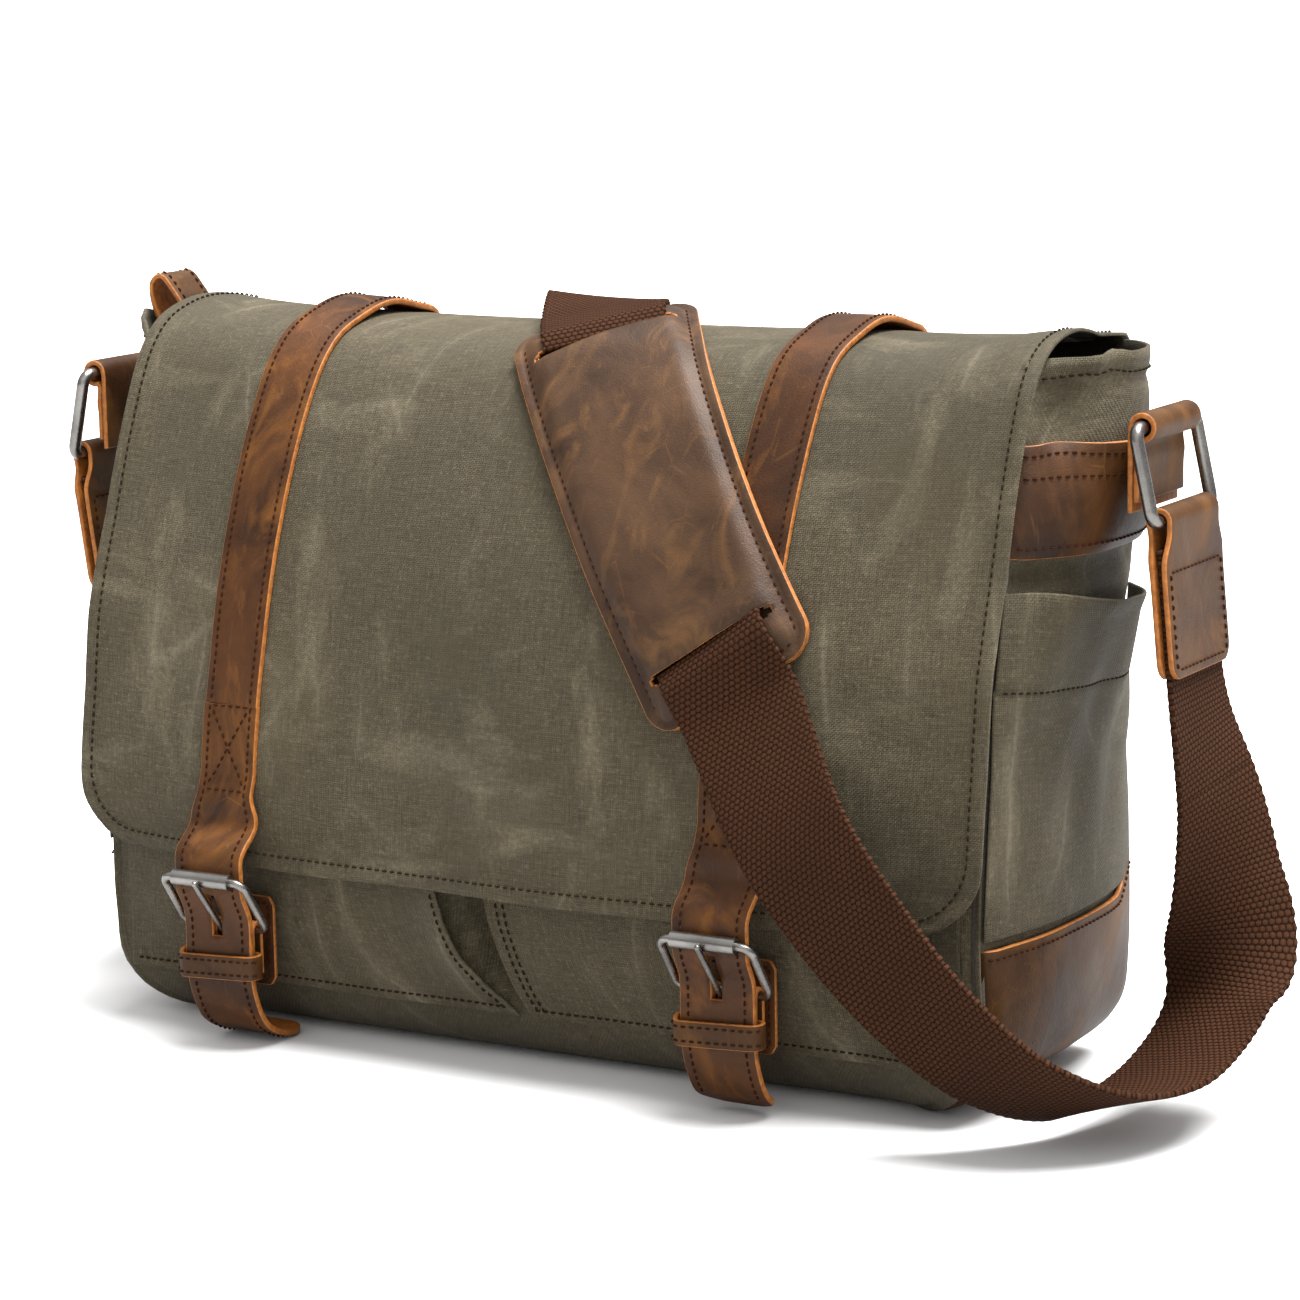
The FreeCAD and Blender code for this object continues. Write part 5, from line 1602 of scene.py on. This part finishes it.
def strap_end(side, name):
    """The strap's leather end, folded round the ring; across it, A runs from -1 to 1."""
    eye, down = JP[f"{name}_tab_swing"], TAB_DIR[side]
    outw = vec([-down[2] * side, 0, down[0] * side])      # away from the bag, across the tab
    outw = outw if outw[0] * side > 0 else -outw
    r, half_gap, L = 0.0042, 0.0024, 0.059      # the fold's radius, half the gap in it, its depth
    ang = np.radians(np.linspace(0, 180, 18))
    cs = [(half_gap, -L), (half_gap, -0.040), (half_gap, -0.026), (half_gap + 0.0002, -0.0165),
          (0.0036, -0.0065)]
    cs += [(r * math.cos(a), r * math.sin(a)) for a in ang]
    cs += [(-x, z) for x, z in cs[:5][::-1]]
    fold = Line([(x, 0, z) for x, z in cs])

    def tab(A, B):
        p = fold(B)
        depth = -p[..., 2]
        half = 0.0232 + 0.0046 * smooth((depth - 0.004) / 0.012)
        inset = corner_inset(L - depth, 0.007)
        c = eye + p[..., 0:1] * outw + depth[..., None] * down
        return c + np.stack([0 * depth, A * (half - inset), 0 * depth], -1)

    face = facing(tab, (-0.3, 0.3), (0.010, 0.02), outw)
    finish_piece(sheet(f"{name}_strap_end_leather", face, edge_rows(-1, 1, 0.1, 0.032),
                       edge_rows(0, fold.length, 0.0016, EDGE_R), TRIM_T, TAN, (0.032, EDGE_R),
                       lift=-TRIM_T / 2),
                 f"{name}_tab_body", "leather", f"{name}_strap_tab")
    rows = []
    for b0, b1 in ((0.0035, L - 0.019), (fold.length - 0.0035, fold.length - L + 0.019)):
        rows += [rows_along(face, a, min(b0, b1), max(b0, b1), TRIM_T / 2) for a in (-0.87, 0.87)]
        rows += [rows_across(face, b, -a, a, TRIM_T / 2) for b, a in ((b0, 0.80), (b1, 0.84))]
    sew(f"{name}_strap_end_stitches", rows, f"{name}_tab_body")


for side, name in RINGS.items():
    ring_loop(side, name)
    strap_end(side, name)


def pad_exit(sign):
    """The webbing's way out of a slot and over the pad's end: stations in mm, as in run_points."""
    out = []
    for p, lift in ((SLOT_AT - 0.002, 0.0050), (SLOT_AT + 0.006, 0.0076),
                    (PAD_L / 2 - 0.006, 0.0058), (PAD_L / 2 + 0.006, 0.0034)):
        x, s = pad_place(np.array([-0.001, 0.0, 0.001]), np.full(3, sign * p))
        pts = flap_at(x, s, pad_lift(x, s) + lift) / MM
        out.append((tuple(pts[1]), tuple(unit(pts[2] - pts[0]))))
    return out


def run_points(side, stations):
    """Control points of a webbing run: straight down the strap's end, then the free stations.

    A station is a point of the middle line in mm and the direction across the webbing there."""
    eye = JP["right_tab_swing" if side > 0 else "left_tab_swing"]
    pts = [(tuple((eye + TAB_DIR[side] * d * MM) / MM), (0, 1, 0)) for d in (10, 30, 50, 64)]
    return pts + stations


FRONT_RUN = run_points(1, [
    ((256, 4, 146), (0.05, 1, 0.05)),
    ((261, 8, 118), (0.25, 0.95, 0.13)),
    ((263, 12, 88), (0.5, 0.85, 0.18)),
    ((264, 14, 62), (0.85, 0.45, 0.22)),
    ((263, 7, 43), (0.95, -0.1, 0.28)),
    ((261, -14, 29), (0.95, -0.24, 0.2)),
    ((256, -42, 20), (0.94, -0.28, 0.19)),
    ((244, -73, 18), (0.87, -0.32, 0.38)),
    ((221, -99, 32), (0.81, -0.33, 0.48)),
    ((195, -111, 56), (0.8, -0.24, 0.55)),
    ((168, -114, 85), (0.82, -0.11, 0.56)),
    ((142, -111, 116), (0.85, -0.03, 0.52))]
    + pad_exit(1)[::-1])
BACK_RUN = run_points(-1, [
    ((-238, 8, 146), (0.15, 0.98, 0)),
    ((-238, 20, 124), (0.45, 0.88, -0.1)),
    ((-240, 40, 106), (0.75, 0.62, -0.2)),
    ((-233, 66, 93), (0.9, 0.3, -0.3)),
    ((-215, 86, 89), (0.9, 0.05, -0.42)),
    ((-190, 95, 100), (0.84, -0.1, -0.52)),
    ((-160, 95, 126), (0.8, -0.05, -0.6)),
    ((-126, 95, 164), (0.8, 0, -0.6)),
    ((-92, 91, 204), (0.82, 0.05, -0.57)),
    ((-62, 85, 244), (0.84, 0.15, -0.5)),
    ((-41, 71, 276), (0.85, 0.3, -0.42)),
    ((-25, 48, 294), (0.85, 0.5, -0.15))]
    + pad_exit(-1)[::-1])


def ribbon(run):
    """Surface function of a webbing run and its length."""
    line = Line([vec(p) * MM for p, _ in run])
    key = np.array([line.s[np.argmin(np.abs(line.u - k))] for k in line.key])
    ws = np.array([vec(w) for _, w in run])
    dense = np.linspace(0, line.length, 1500)
    w_dense = np.stack([np.interp(dense, key, ws[:, k]) for k in range(3)], -1)
    for _ in range(400):
        w_dense[1:-1] = (w_dense[:-2] + 2 * w_dense[1:-1] + w_dense[2:]) / 4
    tangent = unit(np.gradient(line(dense), axis=0))
    w_dense = unit(w_dense - tangent * (w_dense * tangent).sum(1, keepdims=True))

    def surface(A, B):
        w = unit(np.stack([np.interp(B, dense, w_dense[:, k]) for k in range(3)], -1))
        ripple = 0.0004 * np.sin(2 * math.pi * B / 0.0041) * smooth((np.abs(A) - 0.021) / 0.004)
        return line(B) + w * (A + np.sign(A) * ripple)[..., None]

    return surface, line


def webbing_piece(name, surface, b0, b1, body, *nodes):
    obj = sheet(name, surface, edge_rows(-WEB_W / 2, WEB_W / 2, 0.0032, EDGE_R),
                edge_rows(b0, b1, 0.0012), WEB_T, [WEB], EDGE_R, ends=(1, 1, 0, 0), lift=-WEB_T / 2)
    return finish_piece(obj, body, "webbing", *nodes)


front_surface, front_line = ribbon(FRONT_RUN)
back_surface, back_line = ribbon(BACK_RUN)


def length_at(line, test):
    return float(line.s[np.argmax(test(line.dense))])


def webbing_run(name, surface, line, side, turn, neck, hanging, rising):
    """A run in four pieces: in the strap's end, at the ring, hanging free and rising to the pad.

    The last three are given two bodies and two points each but stay fixed where they are built;
    turn(points) is true past the place where the hanging piece ends."""
    end = length_at(line, lambda p: p[:, 2] < 0.166)
    below = length_at(line, lambda p: p[:, 2] < 0.125)
    last = length_at(line, turn)
    tab, ring = f"{side}_tab_body", f"{side}_ring_body"
    webbing_piece(f"{name}_end", surface, 0.0, end, tab, name)
    webbing_piece(f"{name}_neck", surface, end, below, (ring, tab, *neck))
    webbing_piece(f"{name}_hanging", surface, below, last, ("bag_body", ring, *hanging))
    webbing_piece(f"{name}_rising", surface, last, line.length, ("bag_body", "flap", *rising))


webbing_run("webbing_front", front_surface, front_line, "right",
            lambda p: p[:, 1] < -0.072,
            neck=((0.260, 0, 0.127), (0.253, 0, 0.164)),
            hanging=((0.250, -0.066, 0.022), (0.257, -0.014, 0.120)),
            rising=((0.240, -0.080, 0.02), (0.125, -0.108, 0.150)))
webbing_run("webbing_back", back_surface, back_line, "left",
            lambda p: p[:, 0] > -0.158,
            neck=((-0.238, 0.018, 0.129), (-0.243, 0.018, 0.164)),
            hanging=((-0.178, 0.094, 0.128), (-0.227, 0.042, 0.1205)),
            rising=((-0.075, 0.088, 0.225), (-0.015, 0.035, 0.306)))

# ------------------------------------------------ hanging loop and the parts inside
lo, hi = box("hanging_loop")
loop_pts = [(-176, 262), (-190, 274), (-203, 284.5), (-212, 296), (-218.5, 302.5), (-223.5, 299),
            (-222, 288), (-214, 275), (-208, 262)]      # x and z in mm
strip_line = Line([(x * MM, 0, z * MM) for x, z in loop_pts])


def hang(A, B):
    p = strip_line(B)
    return np.stack([p[..., 0], (lo[1] + hi[1]) / 2 + A, p[..., 2]], -1)


finish_piece(sheet("hanging_loop_leather", hang, edge_rows(-0.011, 0.011, 0.003, EDGE_R),
                   edge_rows(0, strip_line.length, 0.002, EDGE_R), TRIM_T, TAN, EDGE_R, lift=-TRIM_T / 2),
             "bag_body", "leather", "hanging_loop")
rows = [rows_along(hang, a, 0.03, strip_line.length - 0.02, 0.0011) for a in (-0.0078, 0.0078)]
sew("hanging_loop_stitches", rows, "bag_body")

lo, hi = box("laptop_divider")


def divider(sign):
    def surface(A, B):
        w, h = (hi[0] - lo[0]) / 2, (hi[2] - lo[2]) / 2
        a, b = A / w, B / h
        full = (1 - np.abs(a) ** 10) ** 0.5 * (1 - np.abs(b) ** 10) ** 0.5
        channel = 0.0007 * (np.exp(-((np.abs(A) - w * 0.5) / 0.002) ** 2) + np.exp(-(A / 0.002) ** 2))
        d = (hi[1] - lo[1]) / 2 * np.clip(full, 0, 1) - channel * full
        x, y, z = (lo + hi) / 2
        return np.stack([A + x, y + sign * d, B + z], -1)
    return surface


def pillow(name, surface, w, h, mats):
    """Two crowned faces that meet in a thin edge."""
    A, B = np.meshgrid(*[np.concatenate([[-k], -k * np.linspace(0.999, 0.93, 6),
                                         np.linspace(-k * 0.9, k * 0.9, n),
                                         k * np.linspace(0.93, 0.999, 6), [k]])
                         for k, n in ((w, 56), (h, 36))], indexing="ij")
    v = np.concatenate([surface(1)(A, B).reshape(-1, 3), surface(-1)(A, B).reshape(-1, 3)])
    idx = np.arange(A.size).reshape(A.shape)
    q = np.stack([idx[:-1, :-1], idx[1:, :-1], idx[1:, 1:], idx[:-1, 1:]], -1).reshape(-1, 4)
    uv = np.stack([A, B], -1).reshape(-1, 2)
    faces = np.concatenate([q, q[:, ::-1] + A.size])
    obj = make_object(name, v, faces, mats, None, np.concatenate([uv, uv]))
    clean(obj)
    return obj


cushion = pillow("laptop_divider_padded", divider, (hi[0] - lo[0]) / 2, (hi[2] - lo[2]) / 2, [LINING])
finish_piece(cushion, "bag_body", "lining_cloth", "laptop_divider")

tab_pts = [(47.0, 258), (46.0, 249), (43.0, 240), (39.5, 231), (38.5, 220), (38.3, 200)]
tab_line = Line([(0, y * MM, z * MM) for y, z in tab_pts])
finish_piece(sheet("divider_tab_leather", band_surface(tab_line, 0.0),
                   edge_rows(-0.017, 0.017, 0.003, EDGE_R), edge_rows(0, tab_line.length, 0.003, EDGE_R),
                   FOLD_T, BROWN, EDGE_R, lift=-FOLD_T / 2),
             "bag_body", "leather", "divider_tab")

# ------------------------------------------------ metal and board keep their exact shapes
METAL_PARTS = ("_ring", "buckle_frame", "buckle_roller", "buckle_prong", "snap_stud", "snap_socket",
               "slider")


def recolour(node, mat):
    materials = frame["nodes"][node].data.materials
    materials.clear()
    materials.append(mat)


for node in frame["nodes"]:
    if any(part in node for part in METAL_PARTS) and "chape" not in node:
        recolour(node, METAL)
recolour("base_board", BOARD)

# ------------------------------------------------ floor, light and camera
floor_mat = Nodes("floor_white")
seen = floor_mat.add("LightPath")
# paler to the camera than to the light that it throws back on the bag
floor_tone = floor_mat.mix(seen.outputs["Is Camera Ray"], (0.50, 0.50, 0.50, 1), (0.93, 0.93, 0.93, 1))
floor_mat.done(floor_tone, 0.6)
bpy.ops.mesh.primitive_plane_add(size=24, location=(0, 0, -0.0004))
floor = bpy.context.object
floor.name = "floor"
floor.data.materials.append(floor_mat.mat)

world = bpy.data.worlds.new("studio")
bpy.context.scene.world = world
world.use_nodes = True
wt = world.node_tree
back = wt.nodes["Background"]
path = wt.nodes.new("ShaderNodeLightPath")
coord = wt.nodes.new("ShaderNodeTexCoord")
split = wt.nodes.new("ShaderNodeSeparateXYZ")
sky = wt.nodes.new("ShaderNodeMapRange")
sky.inputs["From Min"].default_value = -0.02
sky.inputs["From Max"].default_value = 0.75
sky.inputs["To Min"].default_value = 0.14
sky.inputs["To Max"].default_value = 0.95
white = wt.nodes.new("ShaderNodeMix")
wt.links.new(coord.outputs["Generated"], split.inputs[0])
wt.links.new(split.outputs["Z"], sky.inputs["Value"])
wt.links.new(path.outputs["Is Camera Ray"], white.inputs["Factor"])
wt.links.new(sky.outputs["Result"], white.inputs["A"])
white.inputs["B"].default_value = 1.05
wt.links.new(white.outputs["Result"], back.inputs["Strength"])
back.inputs["Color"].default_value = (1.0, 1.0, 1.0, 1)


def sun(name, toward, strength, softness):
    data = bpy.data.lights.new(name, "SUN")
    data.energy = strength
    data.angle = math.radians(softness)
    obj = bpy.data.objects.new(name, data)
    obj.rotation_euler = Vector(toward).to_track_quat("Z", "Y").to_euler()
    bpy.context.scene.collection.objects.link(obj)


sun("key", (0.24, 0.14, 0.92), 9.4, 42)
sun("fill", (0.30, -0.80, 0.45), 0.60, 60)

cam_data = bpy.data.cameras.new("camera")
cam = bpy.data.objects.new("camera", cam_data)
bpy.context.scene.collection.objects.link(cam)
CAM_YAW, CAM_PITCH, CAM_ROLL = math.radians(29.9), math.radians(10.4), math.radians(1.0)
level = math.cos(CAM_PITCH)
ahead = Vector((-math.sin(CAM_YAW) * level, math.cos(CAM_YAW) * level, -math.sin(CAM_PITCH)))
aim = ahead.to_track_quat("-Z", "Y").to_matrix() @ Matrix.Rotation(-CAM_ROLL, 3, "Z")
cam.location = (0.826, -1.403, 0.456)
cam.rotation_euler = aim.to_euler()
cam_data.sensor_width = 36
cam_data.lens = 113.1
cam_data.clip_start = 0.05
bpy.context.scene.camera = cam
bpy.context.scene.view_settings.view_transform = "Standard"
